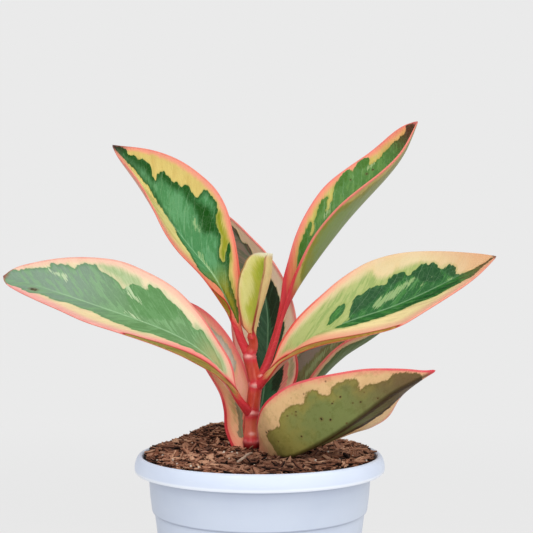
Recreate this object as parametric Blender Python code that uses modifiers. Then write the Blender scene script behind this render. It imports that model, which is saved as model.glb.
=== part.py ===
# Potted peperomia: a moulded nursery pot, bark mix, one stem and nine leaves
import bpy
import bmesh
import math
import random
from mathutils import Euler, Vector, noise

for old in list(bpy.data.objects):
    bpy.data.objects.remove(old, do_unlink=True)

mm = 0.001
gap = 0.3  # air between neighbouring pieces, in mm like every size below

# pot
mouthRadius = 46.8
floorThickness = 3.0
# outer side from the top of the rim down, then the bottom: radius, height
potOuter = [(47.0, 87.7), (47.9, 88.0), (48.9, 87.3), (49.7, 85.6), (50.0, 83.8),
            (50.0, 82.3), (49.4, 81.5), (45.6, 80.9), (44.4, 79.8), (43.8, 72.0),
            (43.0, 66.4), (42.1, 65.6), (41.0, 58.0), (35.7, 4.0), (35.1, 1.2), (33.6, 0.0)]
# inner side from the floor up
potInner = [(32.4, 3.0), (33.6, 4.2), (38.8, 58.0), (41.6, 77.0), (43.6, 80.6), (46.3, 82.4),
            (46.8, 86.0)]
potSides = 52

# bark mix
soilEdge = 86.8       # height where it meets the pot
soilMound = 4.0       # how much higher it stands at the stem
backMound = (-20.0, 26.0, 8.0, 15.0)   # x, y, height and reach of the heap at the back left
leafDip = (5.0, -14.0, -0.8, 11.0)     # the mix is pressed down where the low leaf lies
soilRings = 11
soilSides = 48
chipSpacing = 8.0
chipSeed = 41
chipLength = (4.0, 6.6)
chipWidth = (2.2, 3.6)
chipThick = (1.6, 2.4)
chipSunk = (0.35, 0.75)                # how far a chip's middle lies under the surface
chipReach = 42.5                       # chips stay inside this radius
stemClear = 8.5                        # and this far from the stem

# stem
# x, y, height, radius; the thicker ones are the nodes that leaves grow from
stemRoute = [(-3.5, 0.0, 67.0, 2.6), (-3.5, 0.0, 80.0, 2.7), (-3.5, 0.0, 88.5, 2.8),
             (-3.5, 0.0, 91.0, 3.3), (-3.3, 0.0, 93.5, 3.3), (-3.0, 0.0, 97.5, 2.8),
             (-3.0, 0.0, 101.5, 2.8), (-3.0, 0.0, 104.0, 3.1), (-2.7, 0.0, 106.5, 2.8),
             (-2.2, 0.0, 110.5, 2.4), (-1.7, 0.0, 113.5, 2.6), (-1.6, 0.0, 115.5, 2.9),
             (-2.0, 0.0, 118.0, 2.7), (-3.2, 0.0, 122.5, 2.6), (-4.1, 0.0, 126.5, 2.7),
             (-4.0, -0.2, 128.3, 2.5), (-3.0, -0.6, 130.2, 1.9), (-2.4, -1.5, 132.2, 1.7),
             (-2.9, -2.4, 134.4, 1.6)]
stemSides = 12

# leaves
# path: points along the midrib, from inside the stem to the tip
# stalk: share of the length that is bare stalk
# left and right: share of the length, width of that half, its fold up from flat in degrees
# face: which way the upper side looks, at even steps from the base to the tip
# colour: the blade's main colour
stations = 20
acrossHalf = 3        # strips in each half of a blade
bladeThick = 1.3      # at the midrib
edgeThick = 0.7
cupping = 12.0        # each half is also bent this far inward along its width
stalkRadius = 1.75
keelDepth = 1.5       # the midrib stands out this far underneath at the base
tipTaper = 0.45       # and the blade thins by this share at the tip

leaves = {
    "leaf_upper_left": {
        "colour": (0.09, 0.27, 0.09),
        "path": [(-4.5, 0, 127.5), (-6.5, 1, 131), (-8, 2, 134.5), (-11, 5, 142.5), (-19, 10, 158.5),
                 (-29.5, 16, 171), (-40.5, 22, 185), (-52.5, 27, 201.5), (-64.5, 30, 217)],
        "stalk": 0.12,
        "left": [(0, 1.8, 20), (0.12, 2, 20), (0.2, 4.5, 21), (0.3, 10.5, 23), (0.4, 17.5, 25),
                 (0.5, 22.5, 30), (0.6, 24.5, 37), (0.7, 23, 42), (0.8, 19, 45), (0.9, 11.5, 45),
                 (1, 0.5, 40)],
        "right": [(0, 1.8, 60), (0.12, 2, 57), (0.2, 4.5, 55), (0.3, 10.5, 51), (0.4, 17.5, 50),
                  (0.5, 22.3, 50), (0.6, 24.2, 50), (0.7, 22.7, 48), (0.8, 18.7, 45), (0.9, 11.3, 42),
                  (1, 0.5, 40)],
        "face": [(0.55, -0.75, 0.35), (0.75, -0.75, 0.45), (0.5, -0.8, 0.4)]},
    "leaf_upper_right": {
        "colour": (0.24, 0.27, 0.06),
        "path": [(-1, 1.5, 116.5), (1.5, 3, 120.5), (3.5, 4, 125.5), (6, 6, 133), (9.5, 8, 144),
                 (19, 12, 160), (36, 18, 182.5), (54, 23, 204), (67.5, 26, 226.5)],
        "stalk": 0.22,
        "left": [(0, 1.8, 55), (0.2, 2, 58), (0.35, 8, 60), (0.45, 12.7, 59), (0.55, 16, 50),
                 (0.65, 17.8, 43), (0.75, 16.4, 36), (0.85, 12, 31), (1, 0.5, 35)],
        "right": [(0, 1.8, 50), (0.2, 2, 55), (0.35, 8, 58), (0.45, 12.7, 56), (0.55, 16, 49),
                  (0.65, 17.8, 41), (0.75, 16.4, 34), (0.85, 12, 27), (1, 0.5, 12)],
        "face": [(-0.8, -0.6, 0.4), (-0.75, -0.45, 0.5), (-0.7, -0.5, 0.5)]},
    "leaf_right": {
        "colour": (0.05, 0.23, 0.06),
        "path": [(-1.5, -2.5, 115.5), (3.5, -5, 120), (10, -8, 126), (20.5, -11, 134.5),
                 (35.5, -13, 141), (52, -13, 146.5), (67, -12, 153), (81, -10, 160), (93, -8, 166.5)],
        "stalk": 0.08,
        "left": [(0, 2, 40), (0.1, 4, 32), (0.15, 5.8, 29), (0.25, 10, 26), (0.35, 14.5, 25),
                 (0.45, 18.5, 27), (0.55, 21, 29), (0.65, 20.5, 30), (0.75, 17.5, 30), (0.85, 12, 30),
                 (0.95, 4.8, 30), (1, 0.5, 30)],
        "right": [(0, 2, 50), (0.1, 4, 43), (0.15, 5.8, 38), (0.25, 10, 24), (0.35, 14.5, 22),
                  (0.45, 18.5, 22), (0.55, 21, 24), (0.65, 20.5, 29), (0.75, 17.5, 31), (0.85, 12, 30),
                  (0.95, 4.8, 29), (1, 0.5, 29)],
        "face": [(-0.4, -0.5, 0.8), (-0.3, -0.65, 0.7), (-0.3, -0.7, 0.7)]},
    "leaf_left": {
        "colour": (0.16, 0.32, 0.19),
        "path": [(-3.5, -2.5, 105), (-7, -5, 109), (-12, -7, 115.5), (-18, -9, 124), (-25, -11, 130.5),
                 (-34.5, -12, 136), (-47, -12, 141), (-63, -11, 146.5), (-82.5, -9, 153),
                 (-102, -6, 159)],
        "stalk": 0.09,
        "left": [(0, 2, 45), (0.1, 2.8, 36), (0.15, 4.8, 30), (0.25, 8.5, 17), (0.35, 13.8, 20),
                 (0.45, 18.2, 23), (0.55, 20.2, 23), (0.65, 21, 23), (0.75, 18.5, 23), (0.85, 13.8, 20),
                 (0.95, 6.8, 16), (1, 0.5, 14)],
        "right": [(0, 2, 50), (0.1, 2.8, 44), (0.15, 4.8, 40), (0.25, 8.5, 24), (0.35, 13.8, 25),
                  (0.45, 18.2, 31), (0.55, 20.2, 32), (0.65, 21, 30), (0.75, 18.5, 29),
                  (0.85, 13.8, 29), (0.95, 6.8, 28), (1, 0.5, 28)],
        "face": [(0.4, -0.5, 0.8), (0.3, -0.65, 0.75), (0.2, -0.7, 0.7)]},
    "leaf_low_right": {
        "colour": (0.55, 0.36, 0.17),
        "path": [(-2.5, -2, 94), (1.5, -9, 92.2), (6, -17, 91.6), (12.5, -24, 91.4), (23, -28, 96.5),
                 (35.5, -30, 105), (50.5, -30, 116), (65.5, -29, 123)],
        "stalk": 0.05,
        "left": [(0, 2, 50), (0.05, 4, 46), (0.1, 8, 44), (0.2, 17, 42), (0.3, 23, 38),
                 (0.45, 24.3, 30), (0.55, 23, 25), (0.65, 19.6, 17), (0.75, 14.8, 10), (0.85, 8.5, 17),
                 (0.95, 2.6, 19), (1, 0.5, 20)],
        "right": [(0, 2, 50), (0.05, 5, 52), (0.1, 9.5, 54), (0.15, 14, 55), (0.2, 18.5, 55),
                  (0.27, 22.8, 55), (0.35, 24.4, 53), (0.45, 24.1, 50), (0.55, 22.5, 41),
                  (0.65, 19.3, 34), (0.75, 14.5, 28), (0.85, 8.4, 17), (0.95, 2.6, 15), (1, 0.5, 15)],
        "face": [(0.5, 0.3, 0.8), (-0.35, 0.65, 0.7), (-0.4, 0.7, 0.6), (-0.4, 0.7, 0.6)]},
    "leaf_back": {
        "colour": (0.05, 0.1, 0.06),
        "path": [(-3, 2.3, 98.5), (-2, 8, 99.2), (-0.5, 13, 102), (1.5, 18, 110), (3, 22, 128),
                 (3, 27, 145), (-1, 32, 162), (-9, 35, 176), (-20, 38, 190.5)],
        "stalk": 0.1,
        "left": [(0, 2, 30), (0.1, 3, 22), (0.15, 6, 15), (0.25, 10.8, 8), (0.35, 14, 7), (0.45, 16, 8),
                 (0.55, 16, 15), (0.65, 14.5, 20), (0.8, 10, 20), (0.92, 5, 20), (1, 0.5, 20)],
        "right": [(0, 2, 40), (0.1, 3, 36), (0.15, 6, 34), (0.25, 10.8, 30), (0.35, 14, 40),
                  (0.45, 16, 48), (0.55, 16, 60), (0.65, 14.5, 70), (0.8, 10, 82), (0.92, 5, 81),
                  (1, 0.5, 80)],
        "face": [(0, -0.9, 0.3), (0.1, -0.9, 0.4), (0.1, -0.9, 0.4)]},
    "leaf_back_left": {
        "colour": (0.26, 0.31, 0.19),
        "path": [(-5.5, 1.5, 93), (-7, 4, 96), (-8, 6, 102.5), (-10.5, 8, 110), (-16, 11, 119.5),
                 (-23.5, 14, 130.5), (-32.5, 16, 140.5), (-44.5, 17, 148.5)],
        "stalk": 0.04,
        "left": [(0, 3.2, -18), (0.04, 5.5, -12), (0.1, 7.4, 2), (0.2, 7.5, 14), (0.3, 8.5, 30),
                 (0.45, 10, 37), (0.6, 10.5, 40), (0.75, 9.5, 38), (0.88, 6.5, 34), (1, 0.5, 30)],
        "right": [(0, 1.5, 0), (0.08, 1.5, 0), (0.16, 3, 6), (0.25, 7, 18), (0.35, 9, 30),
                  (0.45, 10, 30), (0.6, 10.5, 30), (0.75, 9.5, 30), (0.88, 6.5, 30), (1, 0.5, 30)],
        "face": [(0.4, -0.8, 0.4), (0.3, -0.8, 0.4), (0.2, -0.8, 0.5)]},
    "leaf_back_right": {
        "colour": (0.1, 0.13, 0.08),
        "path": [(-1.5, 1, 93.5), (5, 9, 93.2), (11, 19, 97), (17, 26, 105), (26, 30, 115),
                 (37, 33, 124.5), (50.5, 35, 133), (68, 38, 148)],
        "stalk": 0.2,
        "left": [(0, 2, 50), (0.22, 2.5, 50), (0.35, 9, 50), (0.5, 15, 50), (0.65, 16, 50),
                 (0.85, 11, 46), (0.95, 5, 42), (1, 0.5, 40)],
        "right": [(0, 2, 50), (0.22, 2.5, 47), (0.35, 9, 46), (0.5, 15, 46), (0.65, 16, 46),
                  (0.85, 11, 44), (0.95, 5, 41), (1, 0.5, 40)],
        "face": [(-0.6, -0.5, 0.6), (-0.6, -0.4, 0.6), (-0.5, -0.5, 0.6)]},
    "leaf_young": {
        "colour": (0.55, 0.55, 0.16),
        "path": [(-3.5, -2.5, 134), (-1, -2.5, 142.5), (1.5, -2, 151.5), (3.2, -2, 161),
                 (2.3, -3, 169.5)],
        "stalk": 0.02,
        "left": [(0, 1.2, 55), (0.2, 5.8, 58), (0.35, 8.7, 59), (0.5, 10.8, 60), (0.65, 11.4, 58),
                 (0.8, 10.7, 56), (0.9, 8.7, 55), (0.96, 6.3, 54), (1, 2, 53)],
        "right": [(0, 1.2, 43), (0.2, 5.8, 44), (0.35, 8.7, 45), (0.5, 10.8, 46), (0.65, 11.4, 47),
                  (0.8, 10.7, 48), (0.9, 8.7, 47), (0.96, 6.3, 46), (1, 2, 45)],
        "face": [(-0.8, -0.6, 0.2), (-0.8, -0.5, 0.2), (-0.8, -0.6, 0.2)]},
}

plant = bpy.data.collections.new("potted_peperomia")
cutters = bpy.data.collections.new("cutters")
for collection in (plant, cutters):
    bpy.context.scene.collection.children.link(collection)


def smoothThrough(points, steps):
    """Points along a smooth curve that passes through the given ones."""
    rows = [list(p) for p in points]
    before = [2 * a - b for a, b in zip(rows[0], rows[1])]
    beyond = [2 * a - b for a, b in zip(rows[-1], rows[-2])]
    rows = [before] + rows + [beyond]
    result = []
    for i in range(1, len(rows) - 2):
        for k in range(steps):
            u = k / steps
            result.append([0.5 * (2 * b + (c - a) * u + (2 * a - 5 * b + 4 * c - d) * u * u
                                  + (3 * b - a - 3 * c + d) * u ** 3)
                           for a, b, c, d in zip(*rows[i - 1:i + 3])])
    result.append(rows[-2])
    return result


def atShare(rows, share):
    """Values of a table whose first column is the share, between its rows."""
    for a, b in zip(rows, rows[1:]):
        if share <= b[0] + 1e-9:
            t = min(max((share - a[0]) / max(b[0] - a[0], 1e-9), 0.0), 1.0)
            return [p + (q - p) * t for p, q in zip(a[1:], b[1:])]
    return list(rows[-1][1:])


def atLength(points, count):
    """The curve cut again at equal lengths."""
    curve = [Vector(p) for p in points]
    run = [0.0]
    for a, b in zip(curve, curve[1:]):
        run.append(run[-1] + (b - a).length)
    rows = [(r, *p) for r, p in zip(run, curve)]
    return [Vector(atShare(rows, run[-1] * i / (count - 1))) for i in range(count)]


def blend(low, high, value):
    """0 below low, 1 above high and a smooth step between them."""
    t = min(max((value - low) / (high - low), 0.0), 1.0)
    return t * t * (3 - 2 * t)


def inset(profile, amount):
    """The same open profile moved sideways to its left by one distance."""
    normals = []
    for (ar, az), (br, bz) in zip(profile, profile[1:]):
        length = math.hypot(br - ar, bz - az)
        normals.append((-(bz - az) / length, (br - ar) / length))
    moved = []
    for i, (r, z) in enumerate(profile):
        before, after = normals[max(i - 1, 0)], normals[min(i, len(normals) - 1)]
        nr, nz = before[0] + after[0], before[1] + after[1]
        scale = 2 * amount / (nr * nr + nz * nz)
        moved.append((r + nr * scale, z + nz * scale))
    return moved


def material(name, colour, rough, coat=0.0):
    mat = bpy.data.materials.new(name)
    mat.use_nodes = True
    shader = mat.node_tree.nodes["Principled BSDF"]
    shader.inputs["Base Color"].default_value = (*colour, 1.0)
    shader.inputs["Roughness"].default_value = rough
    shader.inputs["Coat Weight"].default_value = coat
    mat.diffuse_color = (*colour, 1.0)
    return mat


def finish(obj, mat, smooth=True):
    obj.data.materials.clear()
    obj.data.materials.append(mat)
    for face in obj.data.polygons:
        face.use_smooth = smooth


def newObject(name, mesh, where):
    obj = bpy.data.objects.new(name, mesh)
    where.objects.link(obj)
    if where is not plant:
        obj.hide_render = True
        obj.display_type = "WIRE"
    return obj


def cleanShell(mesh):
    """Weld the seams and face the shell outward."""
    shell = bmesh.new()
    shell.from_mesh(mesh)
    bmesh.ops.remove_doubles(shell, verts=shell.verts, dist=0.005 * mm)
    bmesh.ops.recalc_face_normals(shell, faces=shell.faces)
    shell.to_mesh(mesh)
    shell.free()


def evaluated(obj):
    """A clean mesh of the object with its modifiers or its bevel applied."""
    bpy.context.view_layer.update()
    graph = bpy.context.evaluated_depsgraph_get()
    mesh = bpy.data.meshes.new_from_object(obj.evaluated_get(graph))
    cleanShell(mesh)
    return mesh


def applied(obj):
    mesh = evaluated(obj)
    obj.modifiers.clear()
    obj.data = mesh
    return obj


def turned(name, profile, sides, where):
    """A solid turned about the upright axis; the profile starts and ends on it."""
    mesh = bpy.data.meshes.new(name)
    edges = [(i, i + 1) for i in range(len(profile) - 1)]
    mesh.from_pydata([(r * mm, 0.0, z * mm) for r, z in profile], edges, [])
    obj = newObject(name, mesh, where)
    screw = obj.modifiers.new("turn", "SCREW")
    screw.axis = "Z"
    screw.angle = math.radians(360)
    screw.steps = screw.render_steps = sides
    screw.use_merge_vertices = True
    screw.merge_threshold = 0.01 * mm
    return applied(obj)


def tube(name, points, extra, where):
    """A round bar through points that carry their own radius."""
    curve = bpy.data.curves.new(name, "CURVE")
    curve.dimensions = "3D"
    curve.bevel_depth = mm
    curve.bevel_resolution = stemSides // 2 - 2
    curve.use_fill_caps = True
    line = curve.splines.new("POLY")
    line.points.add(len(points) - 1)
    for point, (x, y, z, r) in zip(line.points, points):
        point.co = (x * mm, y * mm, z * mm, 1.0)
        point.radius = r + extra
    bar = newObject(name + "_route", curve, where)
    mesh = evaluated(bar)
    bpy.data.objects.remove(bar, do_unlink=True)
    return newObject(name, mesh, where)


def combine(obj, other, operation):
    """Join to, or cut by, an object or all the objects of a collection."""
    step = obj.modifiers.new(operation.lower(), "BOOLEAN")
    step.operation = operation
    step.solver = "EXACT"
    if isinstance(other, bpy.types.Collection):
        step.operand_type = "COLLECTION"
        step.collection = other
    else:
        step.object = other
    return applied(obj)


# pot
pot = turned("pot", [(0.0, floorThickness)] + potInner + potOuter + [(0.0, 0.0)], potSides, plant)
finish(pot, material("pot_plastic", (0.62, 0.69, 0.80), 0.42))

# stem, and the space that it takes up in the mix and in the leaf bases
stemPoints = smoothThrough(stemRoute, 2)
stem = tube("stem", stemPoints, 0.0, plant)
finish(stem, material("stem_red", (0.55, 0.06, 0.05), 0.38))
foot, neck, top = (Vector(stemPoints[i][:3]) for i in (0, -2, -1))
below = foot - Vector((0.0, 0.0, gap))
above = top + (top - neck).normalized() * gap
stemSpacePoints = [(*below, stemPoints[0][3])] + stemPoints[1:-1] + [(*above, stemPoints[-1][3])]
stemSpace = tube("stem_space", stemSpacePoints, gap, cutters)


# bark mix
def soilHeight(x, y):
    r = math.hypot(x, y)
    z = soilEdge + soilMound * max(1 - r / mouthRadius, 0.0) ** 0.9
    for cx, cy, rise, reach in (backMound, leafDip):
        z += rise * math.exp(-(math.hypot(x - cx, y - cy) / reach) ** 2)
    fade = min(max((mouthRadius - r) / 6.0, 0.0), 1.0)
    return z + 0.45 * fade * noise.noise(Vector((x * 0.23, y * 0.23, 3.1)))


def barkChip(x, y, size, turn, tilt, lean, height, where):
    """One wedge-shaped chip of bark."""
    pose = Euler((math.radians(lean), math.radians(tilt), math.radians(turn)))
    shape = bmesh.new()
    for vert in bmesh.ops.create_cube(shape, size=1.0)["verts"]:
        narrow = 1.0 - 0.5 * (vert.co.y + 0.5)
        corner = Vector((vert.co.x * size[0] * narrow, vert.co.y * size[1], vert.co.z * size[2]))
        corner.rotate(pose)
        vert.co = (corner + Vector((x, y, height))) * mm
    mesh = bpy.data.meshes.new("chip")
    shape.to_mesh(mesh)
    shape.free()
    newObject("chip", mesh, where)


def scatterChips(where):
    """Chips on a jittered triangular grid, clear of the pot and the stem."""
    rng = random.Random(chipSeed)
    across = int(mouthRadius / chipSpacing) + 1
    for i in range(-across, across + 1):
        for j in range(-across, across + 1):
            x = (i + 0.5 * (j % 2)) * chipSpacing + rng.uniform(-0.7, 0.7)
            y = j * chipSpacing * 0.866 + rng.uniform(-0.7, 0.7)
            size = [rng.uniform(*span) for span in (chipLength, chipWidth, chipThick)]
            turn, tilt, lean = rng.uniform(0, 180), rng.uniform(-16, 16), rng.uniform(-14, 14)
            if math.hypot(x, y) > chipReach or math.hypot(x - stemRoute[0][0], y) < stemClear:
                continue
            sunk = rng.uniform(*chipSunk)
            if math.hypot(x - leafDip[0], y - leafDip[1]) < 15:
                sunk += 0.5
            barkChip(x, y, size, turn, tilt, lean, soilHeight(x, y) - sunk, where)


side = inset(potInner, gap)
bottom, edgeRadius = floorThickness + gap, side[-1][0]
side[0], side[-1] = (side[0][0], bottom), (edgeRadius, soilEdge)
rings = [(edgeRadius * (1 - (k / soilRings) ** 1.15), soilEdge) for k in range(1, soilRings)]
soil = turned("soil", [(0.0, bottom)] + side + rings + [(0.0, soilEdge)], soilSides, plant)
for vert in soil.data.vertices:
    if vert.co.z > (soilEdge - 0.05) * mm:
        vert.co.z = soilHeight(vert.co.x / mm, vert.co.y / mm) * mm

chips = bpy.data.collections.new("chips")
bpy.context.scene.collection.children.link(chips)
scatterChips(chips)
combine(soil, chips, "UNION")
for chip in list(chips.objects):
    bpy.data.objects.remove(chip, do_unlink=True)
bpy.data.collections.remove(chips)
combine(soil, stemSpace, "DIFFERENCE")
finish(soil, material("bark_mix", (0.16, 0.075, 0.045), 0.9), smooth=False)


# leaves
def halfSection(rows, share, blade, taper):
    """Upper and lower points of one half, from the midrib to the edge; blade is 0 on the stalk."""
    width, angle = atShare(rows, share)
    keel = max(bladeThick / 2, keelDepth * (1 - share / 0.6)) * taper
    upper, lower = [], []
    point, before = Vector((0.0, 0.0)), None
    for j in range(acrossHalf + 1):
        t = j / acrossHalf
        slope = math.radians(angle + cupping * (2 * t - 1))
        step = Vector((math.cos(slope), math.sin(slope)))
        if before:
            point = point + (before + step) * (width / acrossHalf / 2)
        before = step
        half = (bladeThick * (1 - t) + edgeThick * t) / 2 * taper
        lean = Vector((-step.y, step.x)) if j else Vector((0.0, 1.0))
        around = math.radians(90 - 78 * t)
        onStalk = Vector((math.cos(around), math.sin(around))) * stalkRadius
        underStalk = Vector((onStalk.x, -onStalk.y))
        upper.append(onStalk.lerp(point + lean * half, blade))
        lower.append(underStalk.lerp(point - lean * (half if j else keel), blade))
    return upper, lower


def leafSolid(name, leaf):
    """A loft from the round stalk to the folded blade and on to the tip."""
    middle = atLength(smoothThrough(leaf["path"], 16), stations)
    left, right = smoothThrough(leaf["left"], 6), smoothThrough(leaf["right"], 6)
    last = len(leaf["face"]) - 1
    looks = smoothThrough([(k / last, *way) for k, way in enumerate(leaf["face"])], 8)
    verts = []
    for i, centre in enumerate(middle):
        share = i / (stations - 1)
        along = (middle[min(i + 1, stations - 1)] - middle[max(i - 1, 0)]).normalized()
        up = Vector(atShare(looks, share))
        up = (up - along * up.dot(along)).normalized()
        out = along.cross(up)
        blade = blend(leaf["stalk"] * 0.5, leaf["stalk"] + 0.1, share)
        taper = 1.0 - tipTaper * blend(0.88, 1.0, share)
        upperLeft, lowerLeft = halfSection(left, share, blade, taper)
        upperRight, lowerRight = halfSection(right, share, blade, taper)
        ring = [Vector((-p.x, p.y)) for p in reversed(upperLeft[1:])] + upperRight
        ring += lowerRight[::-1] + [Vector((-p.x, p.y)) for p in lowerLeft[1:]]
        verts += [(centre + out * p.x + up * p.y) * mm for p in ring]
    perRing = len(ring)
    faces = [tuple(range(perRing)), tuple(range(len(verts) - perRing, len(verts)))]
    for i in range(stations - 1):
        for k in range(perRing):
            a, b = i * perRing + k, i * perRing + (k + 1) % perRing
            c, d = a + perRing, b + perRing
            # both faces of the blade are split along the same diagonals
            if k < perRing // 2:
                faces += [(a, b, d), (a, d, c)]
            else:
                faces += [(a, b, c), (b, d, c)]
    mesh = bpy.data.meshes.new(name)
    mesh.from_pydata(verts, [], faces)
    cleanShell(mesh)
    return newObject(name, mesh, plant)


for name, leaf in leaves.items():
    blade = combine(leafSolid(name, leaf), stemSpace, "DIFFERENCE")
    finish(blade, material(name + "_blade", leaf["colour"], 0.32, 0.2))
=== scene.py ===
import math
import random

import bmesh
import bpy
import numpy as np
from mathutils import Euler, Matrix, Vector, noise


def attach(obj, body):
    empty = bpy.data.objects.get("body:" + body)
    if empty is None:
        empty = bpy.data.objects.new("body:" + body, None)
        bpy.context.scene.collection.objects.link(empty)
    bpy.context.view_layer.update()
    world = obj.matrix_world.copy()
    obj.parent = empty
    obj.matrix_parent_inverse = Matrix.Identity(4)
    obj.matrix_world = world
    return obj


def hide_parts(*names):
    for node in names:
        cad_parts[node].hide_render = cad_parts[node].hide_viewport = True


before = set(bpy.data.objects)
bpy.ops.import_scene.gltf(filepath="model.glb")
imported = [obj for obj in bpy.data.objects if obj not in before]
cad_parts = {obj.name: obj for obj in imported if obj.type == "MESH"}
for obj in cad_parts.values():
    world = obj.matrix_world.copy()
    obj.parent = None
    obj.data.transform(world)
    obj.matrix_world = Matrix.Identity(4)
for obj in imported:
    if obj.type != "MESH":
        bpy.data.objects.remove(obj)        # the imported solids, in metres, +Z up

mm = 0.001
scene = bpy.context.scene
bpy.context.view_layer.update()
print("frame:", len(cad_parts), "solids")

# camera, set where the photograph was taken from
camera = {
    "place": (2.7, -395.0, 150.5),     # mm
    "tiltUp": 1.84,                    # degrees
    "focalPixels": 973.5,
    "imagePixels": 533,
    "sensorWidth": 36.0,
    "nearest": 0.01, "farthest": 50.0,     # metres
}
lens = bpy.data.cameras.new("camera")
lens.sensor_width = camera["sensorWidth"]
lens.lens = camera["focalPixels"] / camera["imagePixels"] * camera["sensorWidth"]
lens.clip_start = camera["nearest"]
lens.clip_end = camera["farthest"]
view = bpy.data.objects.new("camera", lens)
view.location = Vector(camera["place"]) * mm
view.rotation_euler = (math.radians(90 + camera["tiltUp"]), 0.0, 0.0)
scene.collection.objects.link(view)
scene.camera = view
scene.view_settings.view_transform = "Standard"
print("camera placed")


# a colour code as the picture shows it, made linear for the shaders
def tone(code):
    channels = [int(code[i:i + 2], 16) / 255 for i in (0, 2, 4)]
    return tuple(c / 12.92 if c <= 0.04045 else ((c + 0.055) / 1.055) ** 2.4 for c in channels)


class Wire:
    def __init__(self, nodes, socket):
        self.nodes = nodes
        self.socket = socket

    def math(self, operation, *values):
        return self.nodes.node("Math", {"operation": operation}, dict(enumerate(values)))

    def __add__(self, other):
        return self.math("ADD", self, other)

    def __radd__(self, other):
        return self.math("ADD", other, self)

    def __sub__(self, other):
        return self.math("SUBTRACT", self, other)

    def __rsub__(self, other):
        return self.math("SUBTRACT", other, self)

    def __mul__(self, other):
        return self.math("MULTIPLY", self, other)

    def __rmul__(self, other):
        return self.math("MULTIPLY", other, self)

    def __truediv__(self, other):
        return self.math("DIVIDE", self, other)

    def __abs__(self):
        return self.math("ABSOLUTE", self)

    def least(self, other):
        return self.math("MINIMUM", self, other)

    def fraction(self):
        return self.math("FRACT", self)

    # 0 below low and 1 above high, or the other way round where low is the larger
    def step(self, low, high):
        return self.nodes.node("MapRange", {"interpolation_type": "SMOOTHSTEP"},
                               {"Value": self, "From Min": low, "From Max": high})

    def scaled(self, x, y, z):
        return self.nodes.node("VectorMath", {"operation": "MULTIPLY"}, {0: self, 1: (x, y, z)})

    def parts(self):
        split = self.nodes.node("SeparateXYZ", {}, {0: self}).socket.node
        return [Wire(self.nodes, socket) for socket in split.outputs]

    # how far a place is from a point
    def away(self, point):
        return self.nodes.node("VectorMath", {"operation": "DISTANCE"}, {0: self, 1: point}, "Value")


class Nodes:
    def __init__(self, owner):
        owner.use_nodes = True
        self.tree = owner.node_tree

    def feed(self, socket, value):
        if isinstance(value, Wire):
            self.tree.links.new(value.socket, socket)
        elif socket.type == "RGBA":
            socket.default_value = (*value, 1.0)
        else:
            socket.default_value = value

    def node(self, kind, settings, inputs, output=0):
        node = self.tree.nodes.new("ShaderNode" + kind)
        for key, value in settings.items():
            if key == "stops":
                elements = node.color_ramp.elements
                while len(elements) < len(value):
                    elements.new(0.5)
                for element, (position, colour) in zip(elements, value):
                    element.position = position
                    element.color = (*colour, 1.0)
            else:
                setattr(node, key, value)
        for key, value in inputs.items():
            self.feed(node.inputs[key], value)
        return Wire(self, node.outputs[output])

    # the upper shader over the other one, by an amount
    def mixShader(self, amount, under, upper):
        return self.node("MixShader", {}, {0: amount, 1: under, 2: upper})

    def end(self, kind, surface):
        self.feed(self.tree.nodes[kind + " Output"].inputs["Surface"], surface)


class Paint(Nodes):
    def __init__(self, name, gloss):
        self.material = bpy.data.materials.new(name)
        super().__init__(self.material)
        self.shader = self.tree.nodes["Principled BSDF"]
        for socket, value in gloss.items():
            self.shader.inputs[socket].default_value = value

    def attribute(self, name):
        return self.node("Attribute", {"attribute_name": name}, {}, "Vector")

    def place(self):
        return self.node("TexCoord", {}, {}, "Object")

    def noise(self, where, scale, detail=2.0, rough=0.5):
        return self.node("TexNoise", {}, {"Vector": where, "Scale": scale, "Detail": detail,
                                          "Roughness": rough}, "Fac")

    def cells(self, where, scale, feature="F1"):
        return self.node("TexVoronoi", {"feature": feature}, {"Vector": where, "Scale": scale}, "Distance")

    # a colour over another one, where the mask is 1
    def over(self, under, colour, mask):
        return self.node("Mix", {"data_type": "RGBA"}, {0: mask, 6: under, 7: colour}, 2)

    # both colours multiplied
    def tinted(self, colour, tint, mask=1.0):
        return self.node("Mix", {"data_type": "RGBA", "blend_type": "MULTIPLY"},
                         {0: mask, 6: colour, 7: tint}, 2)

    def relief(self, height, distance, strength=1.0):
        bump = self.node("Bump", {}, {"Height": height, "Distance": distance, "Strength": strength})
        self.feed(self.shader.inputs["Normal"], bump)

    def show(self, **values):
        for name, value in values.items():
            self.feed(self.shader.inputs[name.replace("_", " ")], value)
        return self.material


def smoothThrough(points, steps):
    rows = np.array(points, float)
    rows = np.vstack([2 * rows[0] - rows[1], rows, 2 * rows[-1] - rows[-2]])
    u = (np.arange(steps) / steps)[:, None]
    spans = [0.5 * (2 * b + (c - a) * u + (2 * a - 5 * b + 4 * c - d) * u ** 2
                    + (3 * b - a - 3 * c + d) * u ** 3)
             for a, b, c, d in zip(rows, rows[1:], rows[2:], rows[3:])]
    return np.vstack(spans + [rows[-2:-1]])


def readTable(rows, share):
    table = smoothThrough(rows, 12)
    return [np.interp(share, table[:, 0], table[:, k]) for k in range(1, table.shape[1])]


def ramp(low, high, value):
    t = np.clip((value - low) / (high - low), 0.0, 1.0)
    return t * t * (3 - 2 * t)


def unit(vectors):
    return vectors / np.linalg.norm(vectors, axis=-1, keepdims=True)


# 1 at the middle of a swelling, fading to nothing past its reach
def swell(distance, reach):
    return np.exp(-(distance / reach) ** 2)


def fullTurn(sides):
    return np.linspace(0, 2 * np.pi, sides, endpoint=False)


# faces between closed rings of points that follow each other
def stitch(rings, sides, first=0):
    faces = []
    for i in range(rings - 1):
        for k in range(sides):
            a = first + i * sides + k
            b = first + i * sides + (k + 1) % sides
            faces.append((a, b, b + sides, a + sides))
    return faces


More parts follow.
